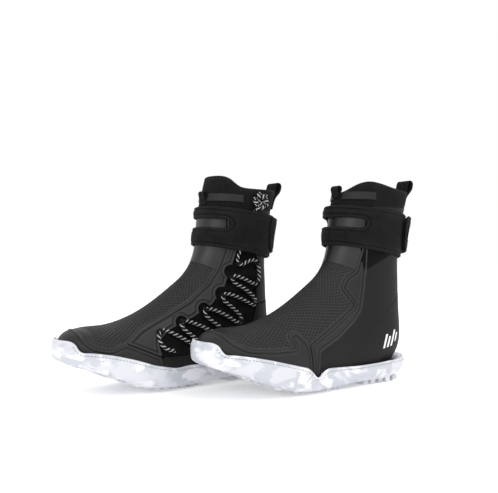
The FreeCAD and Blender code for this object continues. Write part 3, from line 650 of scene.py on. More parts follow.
FOXING_MEDIAL = ((272, 56), (246, 52), (217, 44), (192, 35), (160, 28), (143, 30),
                 (93, 28.5), (55, 29), (20, 31), (-10, 36), (-30, 37))


def below_shell(points):
    """How far a point is below the line where the shell is tucked into the sole."""
    x, y, z = points[..., 0], points[..., 1], points[..., 2]
    low = []
    for line in (FOXING_LATERAL, FOXING_MEDIAL):
        back_to_front = sorted(FOXING_TOE[1:] + line)
        low.append(np.interp(x, [p[0] for p in back_to_front], [p[1] for p in back_to_front]))
    return np.where(y >= 0, low[0], low[1]) - SOLE_TUCK - z


def shell_panel(lateral, medial):
    """Distance function of a panel of the shell, which also stops inside the sole."""
    drawn = two_sided(lateral, medial)

    def distance(points):
        return np.maximum(drawn(points), below_shell(points))
    return distance


def rolled_edge(inset, reach=0.9, depth=0.55):
    """Panels roll down at their cut edge."""
    return -depth * np.clip(1 - inset / reach, 0, 1) ** 2


def groove(inset, place, width=0.55, depth=0.35):
    """Pressed line that runs beside an edge."""
    return -depth * np.exp(-(((inset - place) / width) ** 2))


def bead(inset, place, width=1.1, tall=0.6):
    """Raised piping that runs beside an edge."""
    return tall * np.exp(-(((inset - place) / width) ** 2))


# %% [markdown]
# The vamp is a film pressed over mesh, with rows of small hexagonal dimples. They are
# real dents: the distance to the walls of the nearest hexagon sets the depth of each
# corner of a fine grid. Like every lower layer, it runs on under its neighbours.
# %% Vamp
DIMPLE_PITCH = 4.9
DIMPLE_DEPTH = 1.0
DIMPLES_END = 262
UNDERLAP = 3.0
VAMP_PITCH = 0.86
VAMP_THICK = 0.8


def hex_gap(along, around):
    """Distance to the nearest hexagon wall, 0 on a wall and 0.5 in the middle of a cell."""
    tall = math.sqrt(3)
    best = np.full(along.shape, 9.0)
    for shift in (0.0, 0.5):
        a = along / tall + shift
        b = around + shift
        x = b - np.round(b)
        z = (a - np.round(a)) * tall
        reach = np.maximum(np.abs(x), 0.5 * np.abs(x) + 0.5 * tall * np.abs(z))
        best = np.minimum(best, reach)
    return np.clip(0.5 - best, 0, 0.5)


def dimples(inset, along, around, points):
    """Hexagonal dents, none within a margin of the edge."""
    gap = hex_gap(along / DIMPLE_PITCH, around / DIMPLE_PITCH)
    deep = np.clip((gap - 0.06) / 0.16, 0, 1)
    deep = deep * deep * (3 - 2 * deep)
    fade = np.clip((inset - UNDERLAP - 2.0) / 1.2, 0, 1)
    bare = np.clip((points[..., 0] - DIMPLES_END) / 8, 0, 1)
    return -DIMPLE_DEPTH * deep * fade * (1 - bare) - 0.1


def grown(distance, reach=UNDERLAP):
    """Distance function of a lower layer that runs on under its neighbours."""
    def wider(points):
        return np.maximum(distance(points) - reach, below_shell(points))
    return wider


lateral_vamp = (VAMP_OUT,) + SHIN_EDGE + LATERAL_SEAM[2:] + LATERAL_TAB + LATERAL_RAND + (TOE_OUT,)
medial_vamp = (VAMP_OUT, SHIN_EDGE[0]) + VAMP_EDGE[2:] + MEDIAL_RAND + (TOE_OUT,)
vamp = panel("vamp", grown(shell_panel(lateral_vamp, medial_vamp)), VAMP_PITCH, dimples, VAMP_THICK)
pair(vamp, ["vamp"], "mesh_film", vamp_film)


# %% [markdown]
# Smooth overlays frame the mesh. Each stands a little proud, with a rolled edge, a
# raised bead along it, a pressed line inside the bead and a lower bead inside that, like
# the welded and top-stitched seams of the real ones.
# %% Overlays
PANEL_PITCH = 1.1
PANEL_THICK = 0.9


def overlay(inset, along, around, points):
    """Height of an overlay over the shell."""
    piping = bead(inset, 1.9, 1.2, 0.9) + bead(inset, 6.0, 0.9, 0.35)
    return 0.45 + rolled_edge(inset, 1.0, 0.8) + piping + groove(inset, 4.3, 0.9, 0.9)


def plain_overlay(inset, along, around, points):
    """Height of a lower overlay with a thin raised edge and one pressed line."""
    piping = bead(inset, 1.1, 0.6, 0.35) + groove(inset, 2.6, 0.6, 0.4)
    return 0.35 + rolled_edge(inset, 0.6, 0.4) + piping


def low_layer(inset, along, around, points):
    """Height of a layer that lies flush under the overlays."""
    return 0.1 + rolled_edge(inset, 0.8, 0.3)


shin_front = (130, 228)
lateral_shin = LATERAL_SEAM[:2] + (SHIN_EDGE[1], SHIN_EDGE[0], shin_front)
medial_shin = VAMP_EDGE[:3] + (SHIN_EDGE[0], shin_front)
lateral_rand = (LATERAL_SEAM[-1],) + LATERAL_TAB + LATERAL_RAND + (TOE_OUT, (330, 10), (165, 10))
medial_rand = (VAMP_EDGE[-1],) + MEDIAL_RAND + (TOE_OUT, (330, 10), (180, 10), WINDOW_FRONT[-1])
quarter = LATERAL_SEAM + ((165, 10), (157, 10)) + SIDE_SEAM[::-1]
rear = SIDE_SEAM + ((157, 10), (125, 10)) + COUNTER_SEAM[::-1] + ((BACK, 121), (BACK, 228))
counter_lateral = COUNTER_SEAM + ((125, 10), (BACK, 10), (BACK, 121))
counter_medial = ((BACK, 112), (31, 104), (37, 80)) + WINDOW_FLOOR[::-1]
counter_medial += (WINDOW_FRONT[-1], (180, 10), (BACK, 10))
rail_line = VAMP_EDGE + WINDOW_FRONT[::-1]
medial_heel = ((BACK, 112), (31, 104)) + WINDOW_BACK[2:] + ((BACK, 228),)


def rail_distance():
    """The medial rail, with its round cut-outs taken away."""
    drawn = shell_panel(None, rail_line)

    def distance(points):
        gaps = drawn(points)
        for x, z in RAIL_CUTOUTS:
            from_centre = np.hypot(points[..., 0] - x, points[..., 2] - z)
            gaps = np.maximum(gaps, CUTOUT_RADIUS - from_centre)
        return gaps
    return distance


PANELS = (
    ("shin_panel", grown(shell_panel(lateral_shin, medial_shin)), low_layer, "smooth_film",
     shin_film),
    ("toe_rand", shell_panel(lateral_rand, medial_rand), overlay, "rand_film", rand_film),
    ("lateral_quarter", shell_panel(quarter, None), overlay, "rand_film", rand_film),
    ("rear_quarter", grown(shell_panel(rear, None)), low_layer, "quarter_film", quarter_film),
    ("heel_counter", shell_panel(counter_lateral, counter_medial), plain_overlay, "quarter_film",
     quarter_film),
    ("medial_rail", rail_distance(), overlay, "rand_film", rail_film),
    ("medial_heel_panel", grown(shell_panel(None, medial_heel), 1.0), low_layer, "quarter_film",
     quarter_film),
)
for name, distance, height, slot, finish in PANELS:
    pair(panel(name, distance, PANEL_PITCH, height, PANEL_THICK), [name], slot, finish)

POCKET = ((84, 200), (79, 152), (74, 150), (62, 156), (30, 172), (5, 190), (0, 200))


def raised_patch(inset, along, around, points):
    """Height of a patch that lies on the quarters."""
    return 0.9 + rolled_edge(inset, 1.2, 0.7)


pocket = panel("side_pocket", shell_panel(POCKET, None), PANEL_PITCH, raised_patch, PANEL_THICK)
pair(pocket, [], "quarter_film", bootie_neoprene)

# %% [markdown]
# The cup sole has its own set of cross-sections in the same planes, a little wider than
# the shell, with square-cut sides that round off towards the heel. Its side wall rises
# to a rounded bumper at the toe and dips to a notch on the outer side, where the shell's
# dark tip runs down. A pressed channel under its top edge carries the stitching.
# %% Cup sole
SOLE_WIDEST = 0.16
SOLE_ROWS = (
    ((302.4, 58), (302.2, 55), 4, 4, 3.0),
    ((301, 63), (299.5, 50), 14, 13, 5.0),
    ((294, 78), (290, 40), 31, 30, 5.0),
    ((281, 84), (274, 34.5), 41, 40, 5.0),
    ((260, 90), (249, 25.5), 49.5, 48, 5.0),
    ((236, 95), (220, 13.5), 55, 52.5, 5.0),
    ((211, 100), (186, 4.2), 56, 52.5, 5.0),
    ((187, 110), (150, 1.8), 52, 47, 5.0),
    ((163, 125), (109, 3.2), 46.5, 43, 5.0),
    ((144, 139), (65, 4.4), 42.5, 40, 4.6),
    ((129, 151), (19, 6.5), 38.5, 37.5, 3.6),
    ((122, 157), (-1.5, 16.5), 37.5, 36.5, 2.5),
    ((118, 163), (-5.5, 34), 37.5, 36.5, 2.4),
    ((110.5, 176), (-5.5, 84), 37, 36, 2.3),
)
SOLE_SECTIONS = tuple((ridge, low, out, inn, SOLE_WIDEST, low_round, 2.4)
                      for ridge, low, out, inn, low_round in SOLE_ROWS)
LUG_HEIGHT = 1.8
RIM_DROP = 1.5
SOLE_BED = -10
SOLE_PITCH = 1.5
SOLE_WALL = 13.0
STITCH_INSET = 3.6


def sole_distance():
    """Under the foxing line of each side, which is rounded at its corners."""
    lines = []
    for side_line in (FOXING_LATERAL, FOXING_MEDIAL):
        top = FOXING_TOE + side_line
        lines.append(top + ((top[-1][0], SOLE_BED), (top[0][0], SOLE_BED)))
    return two_sided(*lines, reach=4.0)


def sole_height(inset, along, around, points):
    """Relief of the side wall: soft top edge, stitch channel, flat tread plane."""
    side_wall = np.clip((points[..., 2] - LUG_HEIGHT - 4) / 3, 0, 1)
    channel = groove(inset, STITCH_INSET, 0.9, 0.55) * side_wall
    foot_line = groove(points[..., 2] - LUG_HEIGHT, 9.0, 0.6, 0.25) * (points[..., 0] < 80)
    heel = np.clip((16 - points[..., 0]) / 14, 0, 1)
    return rolled_edge(inset, 1.6, 0.9) + channel + foot_line + heel * rolled_edge(inset, 13, 4.2)


def wall_share(place):
    """The wall is thickest where the shell curves away from it, at the heel and the toe."""
    heel = min(max((34 - place.x) / 26, 0), 1)
    toe = min(max((place.x - 278) / 12, 0), 1)
    return max(0.45, 0.45 + 0.55 * heel, 0.45 + 0.35 * toe)


outsole = panel("outsole", sole_distance(), SOLE_PITCH, sole_height, SOLE_WALL, closed=True,
                sections=SOLE_SECTIONS, cap=True, wall_share=wall_share)
for corner, normal in zip(outsole.data.vertices, [v.normal.z for v in outsole.data.vertices]):
    rim = min(max((0.93 + normal) / 0.3, 0), 1) * min(max((9 - corner.co.z) / 7, 0), 1)
    corner.co.z = max(corner.co.z - RIM_DROP * rim, LUG_HEIGHT - RIM_DROP * rim)
pair(outsole, ["outsole"], "sole_rubber", sole_rubber)

# %% [markdown]
# Points on the side of a skin are also looked up from the side view, for what is laid on
# it: the lace, and rows of stitches. A k-d tree finds the nearest grid corner,
# and its tangent plane corrects the rest.
# %% Looking up the side of a skin
def side_lookup(sections, side):
    """Function from (x, z) to the point and normal on one side of a skin."""
    points, normals = skin(np.linspace(0, row_places(sections)[-1], 300),
                           side * np.linspace(0.01, 0.49, 260), sections)
    points, normals = points.reshape(-1, 3), normals.reshape(-1, 3)
    if side < 0:
        normals = -normals
    tree = KDTree(len(points))
    for number, (x, y, z) in enumerate(points):
        tree.insert((x, 0, z), number)
    tree.balance()

    def place(x, z):
        number = tree.find((x, 0, z))[1]
        point, normal = points[number], normals[number]
        across = normal[1] if abs(normal[1]) > 0.2 else math.copysign(0.2, normal[1])
        y = point[1] - ((x - point[0]) * normal[0] + (z - point[2]) * normal[2]) / across
        return np.array([x, y, z]), normal
    return place


upper_side = {side: side_lookup(SECTIONS, side) for side in (LATERAL, MEDIAL)}
sole_side = {side: side_lookup(SOLE_SECTIONS, side) for side in (LATERAL, MEDIAL)}
print("lateral normal", upper_side[LATERAL](60, 120)[1].round(2),
      "medial normal", upper_side[MEDIAL](60, 120)[1].round(2))

# %% [markdown]
# Stitches are real threads: one short rounded dash is modelled and copied along a line,
# each copy turned to follow it and lying on the surface.
# %% Stitches
def dash_template():
    """One stitch of length 1 along x, 6-sided and round at both ends."""
    select_none()
    bpy.ops.mesh.primitive_uv_sphere_add(segments=6, ring_count=5, radius=0.5)
    dash = bpy.context.object
    corners = np.array([v.co for v in dash.data.vertices])
    faces = [tuple(p.vertices) for p in dash.data.polygons]
    bpy.data.objects.remove(dash)
    return corners[:, [2, 0, 1]], faces


DASH_CORNERS, DASH_FACES = dash_template()


def even_steps(points, step):
    """Points at even steps along a line, with its directions."""
    points = np.asarray(points, float)
    gaps = np.linalg.norm(np.diff(points, axis=0), axis=1)
    lengths = np.r_[0, np.cumsum(gaps)]
    places = np.arange(step / 2, lengths[-1], step)
    spots = np.stack([np.interp(places, lengths, points[:, k]) for k in range(3)], axis=1)
    ahead = np.stack([np.interp(places + 0.3, lengths, points[:, k]) for k in range(3)], axis=1)
    behind = np.stack([np.interp(places - 0.3, lengths, points[:, k]) for k in range(3)], axis=1)
    direction = ahead - behind
    direction /= np.maximum(np.linalg.norm(direction, axis=1, keepdims=True), 1e-9)
    return spots, direction


def stitch_row(name, lines, step, length, thick, lift):
    """One piece with dashes along several lines, each a list of (point, normal)."""
    corners, faces = [], []
    for line in lines:
        spots, direction = even_steps([p for p, _ in line], step)
        source = np.array([p for p, _ in line])
        outward = np.array([n for _, n in line])
        for spot, along in zip(spots, direction):
            normal = outward[np.argmin(((source - spot) ** 2).sum(1))]
            across = np.cross(normal, along)
            across /= max(np.linalg.norm(across), 1e-9)
            frame_of = np.stack([along * length, across * thick, normal * thick])
            start = sum(len(c) for c in corners)
            corners.append(DASH_CORNERS @ frame_of + spot + normal * lift)
            faces += [tuple(start + k for k in face) for face in DASH_FACES]
    mesh = bpy.data.meshes.new(name)
    mesh.from_pydata(np.concatenate(corners), [], faces)
    shade_smooth(mesh)
    piece = bpy.data.objects.new(name, mesh)
    bpy.context.scene.collection.objects.link(piece)
    print(name, "stitches", len(faces) // len(DASH_FACES))
    return piece


def side_line(outline, place, drop, step=1.5):
    """Line on one side of a skin that runs beside an open outline, at a distance below it."""
    points = np.array(outline, float)
    for _ in range(2):
        cut = [points[0]]
        for start, end in zip(points, points[1:]):
            cut += [0.75 * start + 0.25 * end, 0.25 * start + 0.75 * end]
        points = np.array(cut + [points[-1]])
    flat, direction = even_steps(np.insert(points, 1, 0, axis=1), step)
    line = []
    for spot, along in zip(flat, direction):
        x, z = spot[0] + along[2] * drop, spot[2] - along[0] * drop
        line.append(place(x, z))
    return line


foxing_lines = []
for side, line in ((LATERAL, FOXING_LATERAL), (MEDIAL, FOXING_MEDIAL)):
    front_to_back = ((286, 66), (281, 56)) + line[:-1]
    foxing_lines.append(side_line(front_to_back, sole_side[side], -STITCH_INSET))
sole_stitches = stitch_row("sole_stitches", foxing_lines, 4.2, 2.7, 0.75, -0.25)
pair(sole_stitches, [], "sole_rubber", film("sole_thread", 0.16, 0.24, 0.7))

# %% [markdown]
# The soft goods are cut from the same skin, further out. Neoprene has body: its faces
# are full between the edges and roll down to a stitched binding, which a rounded height
# profile and pressed lines give. The strap swells over the lace on the inner side.
# %% Ankle strap
STRAP_BAND = ((-45, 217), (-5, 221.5), (50, 228), (100, 233.5), (125, 236),
              (125, 184), (105, 182), (50, 173), (0, 163), (-45, 155))
STRAP_LIFT = 0.6
STRAP_THICK = 4.0
STRAP_MEDIAL = 5.0
STRAP_PITCH = 1.25
SLOT_END = (82.5, 210)
SLOT_HALF = 6.0
SLOT_RISE = math.radians(6)
BINDING = 4.2


def slot_gap(points):
    """Signed distance to the strap's long slot, which is open towards the front."""
    x, z = points[..., 0] - SLOT_END[0], points[..., 2] - SLOT_END[1]
    ahead = x * math.cos(SLOT_RISE) + z * math.sin(SLOT_RISE)
    over = -x * math.sin(SLOT_RISE) + z * math.cos(SLOT_RISE)
    return np.hypot(np.minimum(ahead, 0), over) - SLOT_HALF


def strap_distance(points):
    """Band outline less the slot."""
    return np.maximum(two_sided(STRAP_BAND, STRAP_BAND)(points), -slot_gap(points))


def full_profile(inset, thick, swell=0.9):
    """Rounded neoprene: a rolled edge, a binding pressed flat by stitches, a full middle."""
    edge = -0.55 * thick * np.clip(1 - inset / 1.8, 0, 1) ** 2
    pressed = groove(inset, BINDING, 0.55, 0.6) + groove(inset, 1.9, 0.4, 0.18)
    middle = swell * (1 - np.exp(-np.clip(inset - BINDING, 0, None) / 3.0))
    return edge + pressed + middle


def strap_height(inset, along, around, points):
    """Outside of the strap over the skin."""
    inner_side = np.clip(-points[..., 1] / 38, 0, 1)
    wave = 0.35 * np.sin(around / 17.0) * np.sin(points[..., 2] / 9.0)
    swell = STRAP_MEDIAL * inner_side + wave
    return STRAP_LIFT + STRAP_THICK + swell + full_profile(inset, STRAP_THICK)


strap = panel("ankle_strap", strap_distance, STRAP_PITCH, strap_height, 3.9, closed=True)
pair(strap, ["ankle_strap"], "strap_neoprene", strap_neoprene)

# %% [markdown]
# The strap's free end runs back round the heel and closes on the outer side, standing
# clear of the strap by the thickness of its two fastener tapes. It starts a little
# before its root, where it is sewn on.
# %% Strap end
FLAP_OUTLINE = ((18, 222), (22, 217), (21, 181), (17, 174), (-20, 165), (-60, 164),
                (-60, 214), (-20, 219))
SEWN_ON = 12.0
FOLD_HALF = 5.0
FLAP_TOP = 12.4
ROOT_TURN = math.radians(42)
ROOT_OUT = 10.2
ROOT_LEAN = math.radians(8)
ROOT = Vector((51 - (51 + ROOT_OUT) * math.cos(ROOT_TURN),
               -(42.5 + ROOT_OUT) * math.sin(ROOT_TURN), 191.5))


def flap_distance(points):
    """The flap's outline on the outer side and the back, as far as its root."""
    drawn = two_sided(FLAP_OUTLINE, FLAP_OUTLINE)(points)
    x, y, z = points[..., 0], points[..., 1], points[..., 2]
    past = (x - ROOT.x) * math.sin(ROOT_TURN) - (y - ROOT.y) * math.cos(ROOT_TURN)
    lean = (z - ROOT.z) * math.tan(ROOT_LEAN) * math.sin(ROOT_TURN)
    return np.maximum(drawn, past + lean - SEWN_ON)


def flap_height(inset, along, around, points):
    """Outside of the flap over the skin."""
    return FLAP_TOP - 0.4 + full_profile(inset, 3.4, 0.5)


flap = panel("strap_flap", flap_distance, PANEL_PITCH, flap_height, 4.2, closed=True)
belt_way = Vector((math.sin(ROOT_TURN), -math.cos(ROOT_TURN), 0))
pair(flap, ["strap_flap"], "strap_neoprene", strap_neoprene, body="strap_end",
     fold=(ROOT + FOLD_HALF * belt_way, ROOT - FOLD_HALF * belt_way))

# %% [markdown]
# The bootie is the stretch lining that shows in the window under the lace, and the knit
# collar is its upper end. The collar's edge is rolled, and its height differs in the
# pair, as each boot is pulled up a little differently.
# %% Bootie and collar
SHELL_TOP = 228
COLLAR_TOP = {
    "left": (((-40, 252), (10, 252), (38, 256), (55, 261), (70, 264.5), (81, 262),
              (90, 255), (96, 247), (125, 246)),
             ((-40, 252), (62, 250), (96, 247), (125, 246))),
    "right": (((-40, 257), (10, 257), (40, 260), (60, 266), (75, 273), (84, 276), (125, 276)),
              ((-40, 257), (35, 257), (58, 258), (66, 263), (74, 272), (84, 276), (125, 276))),
}


def bootie_distance(points):
    """Everything under the top of the shell."""
    return points[..., 2] - SHELL_TOP


def bootie_height(inset, along, around, points):
    """The bootie lies just inside the shell, with soft horizontal wrinkles at the ankle."""
    x, z = points[..., 0], points[..., 2]
    ankle = np.exp(-(((z - 120) / 35) ** 2))
    return -1.2 - 0.35 * ankle * (1 + np.sin(z / 2.6 + 0.8 * np.sin(x / 9)))


bootie = panel("bootie", bootie_distance, 2.2, bootie_height, 3.3, closed=True)
pair(bootie, ["bootie"], "neoprene", bootie_neoprene)


def collar_height(inset, along, around, points):
    """Outside of the collar: a rolled rim with a pressed seam under it, and fine ribs."""
    ribs = 0.2 * np.sin(around * 2 * math.pi / 3.2)
    return rolled_edge(inset, 2.2, 1.7) - 0.3 + groove(inset, 3.4, 0.5, 0.35) + ribs


for side, (outer_top, inner_top) in COLLAR_TOP.items():
    foot = ((125, SHELL_TOP), (-40, SHELL_TOP))
    knit_band = two_sided(outer_top + foot, inner_top + foot, reach=6.0)
    collar = panel("collar", knit_band, 1.0, collar_height, 4.2, closed=True)
    pair(collar, ["collar"], "collar_knit", collar_knit, sides=(side,))

# %% [markdown]
# The lace is a round cord that the boot holds all the way. Its route is a list of given
# points, as in the model. A smooth NURBS line runs along them, and a tube with
# two twisted strands follows that line. White tracer threads show as slanting flecks.
# %% Lace
CORD_DIAMETER = 4.6
LACE_ROUTE = (
    (39, 237, 8.5), (41, 230, 3.6), (44, 219, 2.6), (50, 201, 2.6), (58, 182, 2.7),
    (67, 163, 2.9), (61, 154, 2.9), (50, 161, 3.2), (38, 163, 3.0), (31, 156, 2.9),
    (29, 145, 3.0), (29, 134, 2.9), (36, 128, 2.9), (54, 137, 3.4),
    (71, 143, 2.9), (74, 134, 2.9), (53, 124, 3.4),
    (34, 108, 2.9), (35, 98, 2.9), (59, 111, 3.4),
    (83, 120, 2.9), (88, 111, 2.9), (73, 100, 3.4),
    (57, 85, 2.9), (62, 76, 2.9), (84, 91, 3.4),
    (108, 101, 2.9), (116, 94, 2.9), (103, 82, 3.2),
    (89, 73, 2.9), (97, 66, 2.9), (119, 77, 3.2),
    (143, 87, 2.9), (152, 81, 2.9), (141, 70, 3.2),
    (127, 61, 2.9), (135, 55, 2.9), (154, 67, 3.2),
    (176, 78, 2.9), (184, 71, 2.9), (183, 60, 3.0), (174, 52, 2.9), (163, 50, 2.9),
)


def smooth_line(name, points, cyclic=False):
    """Points of a NURBS spline of order 3 whose control points are given."""
    curve = bpy.data.curves.new(name, "CURVE")
    curve.dimensions = "3D"
    curve.resolution_u = 10
    line = curve.splines.new("NURBS")
    line.points.add(len(points) - 1)
    for corner, point in zip(line.points, points):
        corner.co = (*point, 1)
    line.order_u = 3
    line.use_endpoint_u = not cyclic
    line.use_cyclic_u = cyclic
    holder = bpy.data.objects.new(name, curve)
    bpy.context.scene.collection.objects.link(holder)
    mesh = bpy.data.meshes.new_from_object(holder)
    places = np.array([v.co for v in mesh.vertices])
    bpy.data.objects.remove(holder)
    bpy.data.meshes.remove(mesh)
    return places


def rope(name, line, diameter, strands=2, lay=12.5, step=0.5, sides=20):
    """Twisted cord along a line, with an attribute that marks its white tracer threads."""
    spots, direction = even_steps(line, step)
    spots = np.concatenate([line[:1], spots, line[-1:]])
    direction = np.concatenate([direction[:1], direction, direction[-1:]])
    side = np.cross(direction[0], (0.0, 0.0, 1.0))
    frames = []
    for along in direction:
        side = side - along * (side @ along)
        side /= np.linalg.norm(side)
        frames.append((side, np.cross(along, side)))
    turn = np.linspace(0, 2 * math.pi, sides + 1)
    length = np.r_[0, np.cumsum(np.linalg.norm(np.diff(spots, axis=0), axis=1))]
    phase = strands * (turn[None, :] - 2 * math.pi * length[:, None] / lay)
    radius = diameter / 2 * (0.80 + 0.20 * np.abs(np.cos(phase / 2)) ** 0.7)
    radius[0] = radius[-1] = 0.01
    first = np.array([f[0] for f in frames])[:, None, :]
    second = np.array([f[1] for f in frames])[:, None, :]
    ring = np.cos(turn)[None, :, None] * first + np.sin(turn)[None, :, None] * second
    points = spots[:, None, :] + ring * radius[:, :, None]
    piece = grid_object(name, points)
    fleck = np.clip((np.cos(phase) - 0.55) / 0.25, 0, 1)
    tracer = piece.data.attributes.new("tracer", "FLOAT", "POINT")
    tracer.data.foreach_set("value", fleck.astype(np.float32).ravel())
    set_uv(piece, np.repeat(length[:, None], sides + 1, 1), np.repeat(turn[None, :], len(length), 0))
    merge(piece, 0.004)
    activate(piece)
    bpy.ops.object.mode_set(mode="EDIT")
    bpy.ops.mesh.select_all(action="SELECT")
    bpy.ops.mesh.normals_make_consistent(inside=False)
    bpy.ops.object.mode_set(mode="OBJECT")
    shade_smooth(piece.data)
    print(name, "length %.0f mm, faces %d" % (length[-1], len(piece.data.polygons)))
    return piece


def rope_finish(name):
    """Black braid with white tracer threads, from the rope's own attribute."""
    material, nodes, links, shader = new_material(name)
    tracer = nodes.new("ShaderNodeAttribute")
    tracer.attribute_name = "tracer"
    colour = ramp(nodes, links, tracer.outputs["Fac"],
                  ((0.35, (0.005, 0.005, 0.006)), (0.65, (0.42, 0.42, 0.42))))
    links.new(colour.outputs[0], shader.inputs["Base Color"])
    place = nodes.new("ShaderNodeTexCoord")
    fibre = add(nodes, "ShaderNodeTexNoise", Scale=1800.0, Detail=2.0)
    links.new(place.outputs["Object"], fibre.inputs["Vector"])
    bump_from(nodes, links, fibre.outputs["Fac"], shader, 0.5)
    shader.inputs["Roughness"].default_value = 0.75
    shader.inputs["Specular IOR Level"].default_value = 0.25
    return material


rope_braid = rope_finish("rope_braid")
route = []
for x, z, lift in LACE_ROUTE:
    point, _ = upper_side[MEDIAL](x, z)
    route.append(point - np.array([0, lift, 0]))
lace = rope("lace", smooth_line("lace_line", route), CORD_DIAMETER)
pair(lace, ["lace"], "cord_braid", rope_braid)

# %% [markdown]
# Above the strap the spare cord is tied into a flat knotted bundle. A line that winds
# round a small ring while it goes round twice makes its crossing loops.
# %% Knotted bundle
BUNDLE_CENTRE = (36, 240.5)
BUNDLE_STANDOFF = 9.0
BUNDLE_RING = 6.9
BUNDLE_WEAVE = 3.6
BUNDLE_DEPTH = 3.4
WINDINGS = 5
KNOT_POINTS = 96

middle, _ = upper_side[MEDIAL](*BUNDLE_CENTRE)
middle = middle - np.array([0, BUNDLE_STANDOFF, 0])
knot_line = []
for number in range(KNOT_POINTS):
    turn = 4 * math.pi * number / KNOT_POINTS
    reach = BUNDLE_RING + BUNDLE_WEAVE * math.cos(WINDINGS * turn / 2)
    depth = BUNDLE_DEPTH * math.sin(WINDINGS * turn / 2)
    knot_line.append(middle + np.array([reach * math.cos(turn), depth, reach * math.sin(turn)]))
bundle_line = smooth_line("bundle_line", knot_line + knot_line[:2])
bundle = rope("lace_bundle", bundle_line, CORD_DIAMETER - 0.3)
pair(bundle, ["lace_bundle"], "cord_braid", rope_braid)

# %% [markdown]
# Pull loops are folded webbing: a flat ribbed tape laid along a drawn path in the side
# view. The tape is a grid with fine ribs across it, made solid and given soft edges.
# %% Webbing loops
LOOP_LEAN = math.radians(15)
TAPE_STEP = 0.45
TAPE_ROWS = 17
FRONT_WIDTH = 14


def loop_frame(base, outward):
    """Function from a loop's own frame (along the shaft, out from it) to x and z."""
    def place(along, out):
        x = base[0] - math.sin(LOOP_LEAN) * along + outward * math.cos(LOOP_LEAN) * out
        z = base[1] + math.cos(LOOP_LEAN) * along + outward * math.sin(LOOP_LEAN) * out
        return x, z
    return place


def leant(path, foot, turn, share):
    """Path turned back about its foot, in degrees, and scaled."""
    turn = math.radians(turn)
    moved = []
    for along, out in path:
        a, b = share * (along - foot[0]), share * (out - foot[1])
        moved.append((foot[0] + a * math.cos(turn) + b * math.sin(turn),
                      foot[1] - a * math.sin(turn) + b * math.cos(turn)))
    return tuple(moved)


def tape(name, path, place, width, thick, rib=1.5):
    """Ribbed webbing along a path."""
    corners = [(x, 0.0, z) for x, z in (place(*spot) for spot in path)]
    line = smooth_line(name + "_line", corners)
    spots, direction = even_steps(line, TAPE_STEP)
    across = np.linspace(-width / 2, width / 2, TAPE_ROWS)
    outward = np.cross(direction, (0.0, 1.0, 0.0))
    length = np.arange(len(spots)) * TAPE_STEP
    relief = 0.14 * np.sin(2 * math.pi * length / rib)
    points = spots[:, None, :] + np.array([0, 1, 0]) * across[None, :, None]
    points = points + (outward * relief[:, None])[:, None, :]
    piece = grid_object(name, points)
    set_uv(piece, np.repeat(length[:, None], TAPE_ROWS, 1), np.repeat(across[None, :], len(length), 0))
    apply_modifier(piece, "SOLIDIFY", thickness=thick, offset=0.0)
    apply_modifier(piece, "BEVEL", width=0.35, segments=2, limit_method="ANGLE")
    shade_smooth(piece.data)
    return piece


HEEL_PATH = ((-5, 1.2), (8, 1.1), (22, 1.1), (30, 1.0), (33.6, 1.8), (34.8, 4.8), (34.2, 8.2),
             (31.0, 9.9), (26.5, 10.0), (22.5, 9.3), (17, 6.2), (12, 3.7), (6, 2.9), (-5, 2.7))
FRONT_PATH = ((3.0, 3.2), (3.4, 2.3), (5, 2.1), (10, 2.1), (15.2, 2.2), (18.4, 3.6), (19.3, 6.2),
              (18.2, 9.2), (15.6, 10.3), (12.8, 9.8), (9, 6.6), (6.4, 4.5), (3.6, 3.9))
PRESSED_PATH = tuple((2.2 + (a - 2.2) * 0.66, 1.5 + (b - 1.5) * 0.46) for a, b in FRONT_PATH)
heel_frame = loop_frame((-8.6, 238), -1)
front_frame = loop_frame((96.3, 240), 1)

heel_loop = tape("heel_loop", HEEL_PATH, heel_frame, 22, 1.6)
pair(heel_loop, ["heel_loop"], "webbing", webbing_black)
front_loop = tape("front_loop", leant(FRONT_PATH, (3.6, 2.7), 9, 0.9), front_frame, FRONT_WIDTH, 1.2)
pair(front_loop, ["front_loop"], "webbing", webbing_black, body="pull_loop", sides=("left",))
flat_loop = tape("front_loop", PRESSED_PATH, front_frame, FRONT_WIDTH, 1.0)
pair(flat_loop, ["front_loop"], "webbing", webbing_black, body="pull_loop", sides=("right",))

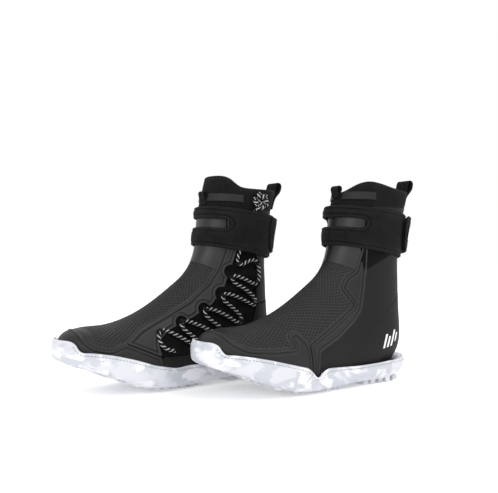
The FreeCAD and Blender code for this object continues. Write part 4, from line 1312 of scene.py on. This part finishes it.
# %% [markdown]
# The light is that of a product studio: broad soft lights from three sides, the key light
# the strongest, and a pale surround that fills the shadows. The camera stands low, three
# quarters from the front, with a normal lens.
# %% Light, floor and camera
def area_light(name, place, target, size, power):
    """Square soft light that faces a target."""
    lamp = bpy.data.lights.new(name, "AREA")
    lamp.size = size
    lamp.energy = power
    holder = bpy.data.objects.new(name, lamp)
    holder.location = place
    holder.rotation_euler = (Vector(target) - Vector(place)).to_track_quat("-Z", "Y").to_euler()
    bpy.context.scene.collection.objects.link(holder)


area_light("key_light", (-0.5, 1.5, 1.6), (0, 0, 0.1), 1.0, 12)
area_light("fill_light", (1.6, 1.0, 0.7), (0, 0, 0.1), 1.2, 8)
area_light("back_light", (-0.9, -1.2, 1.3), (0, 0, 0.15), 1.0, 8)

world = bpy.data.worlds.new("studio")
bpy.context.scene.world = world
world.use_nodes = True
world.node_tree.nodes["Background"].inputs["Color"].default_value = (1, 1, 1, 1)
world.node_tree.nodes["Background"].inputs["Strength"].default_value = 1.0

select_none()
bpy.ops.mesh.primitive_plane_add(size=12, location=(0, 0, -0.0005))
floor = bpy.context.object
floor.name = "floor"
floor_paint, nodes, links, shader = new_material("floor_paint")
shader.inputs["Base Color"].default_value = (0.9, 0.9, 0.9, 1)
shader.inputs["Roughness"].default_value = 0.9
shader.inputs["Emission Color"].default_value = (1, 1, 1, 1)
shader.inputs["Emission Strength"].default_value = 0.25
floor.data.materials.append(floor_paint)

CAMERA_AIM = Vector((-0.01748, -0.00559, 0.130))
CAMERA_DISTANCE = 0.9
CAMERA_AZIMUTH = math.radians(150)
CAMERA_RISE = math.radians(3)
toward = Vector((math.sin(CAMERA_AZIMUTH) * math.cos(CAMERA_RISE),
                 -math.cos(CAMERA_AZIMUTH) * math.cos(CAMERA_RISE), math.sin(CAMERA_RISE)))
lens = bpy.data.cameras.new("camera")
lens.lens = 49.16
lens.sensor_width = 36
lens.sensor_fit = "HORIZONTAL"
lens.shift_x = -0.0050
lens.shift_y = 0.0763
camera = bpy.data.objects.new("camera", lens)
camera.location = CAMERA_AIM + toward * CAMERA_DISTANCE
camera.rotation_euler = (-toward).to_track_quat("-Z", "Y").to_euler()
bpy.context.scene.collection.objects.link(camera)
bpy.context.scene.camera = camera
bpy.context.scene.view_settings.view_transform = "Standard"
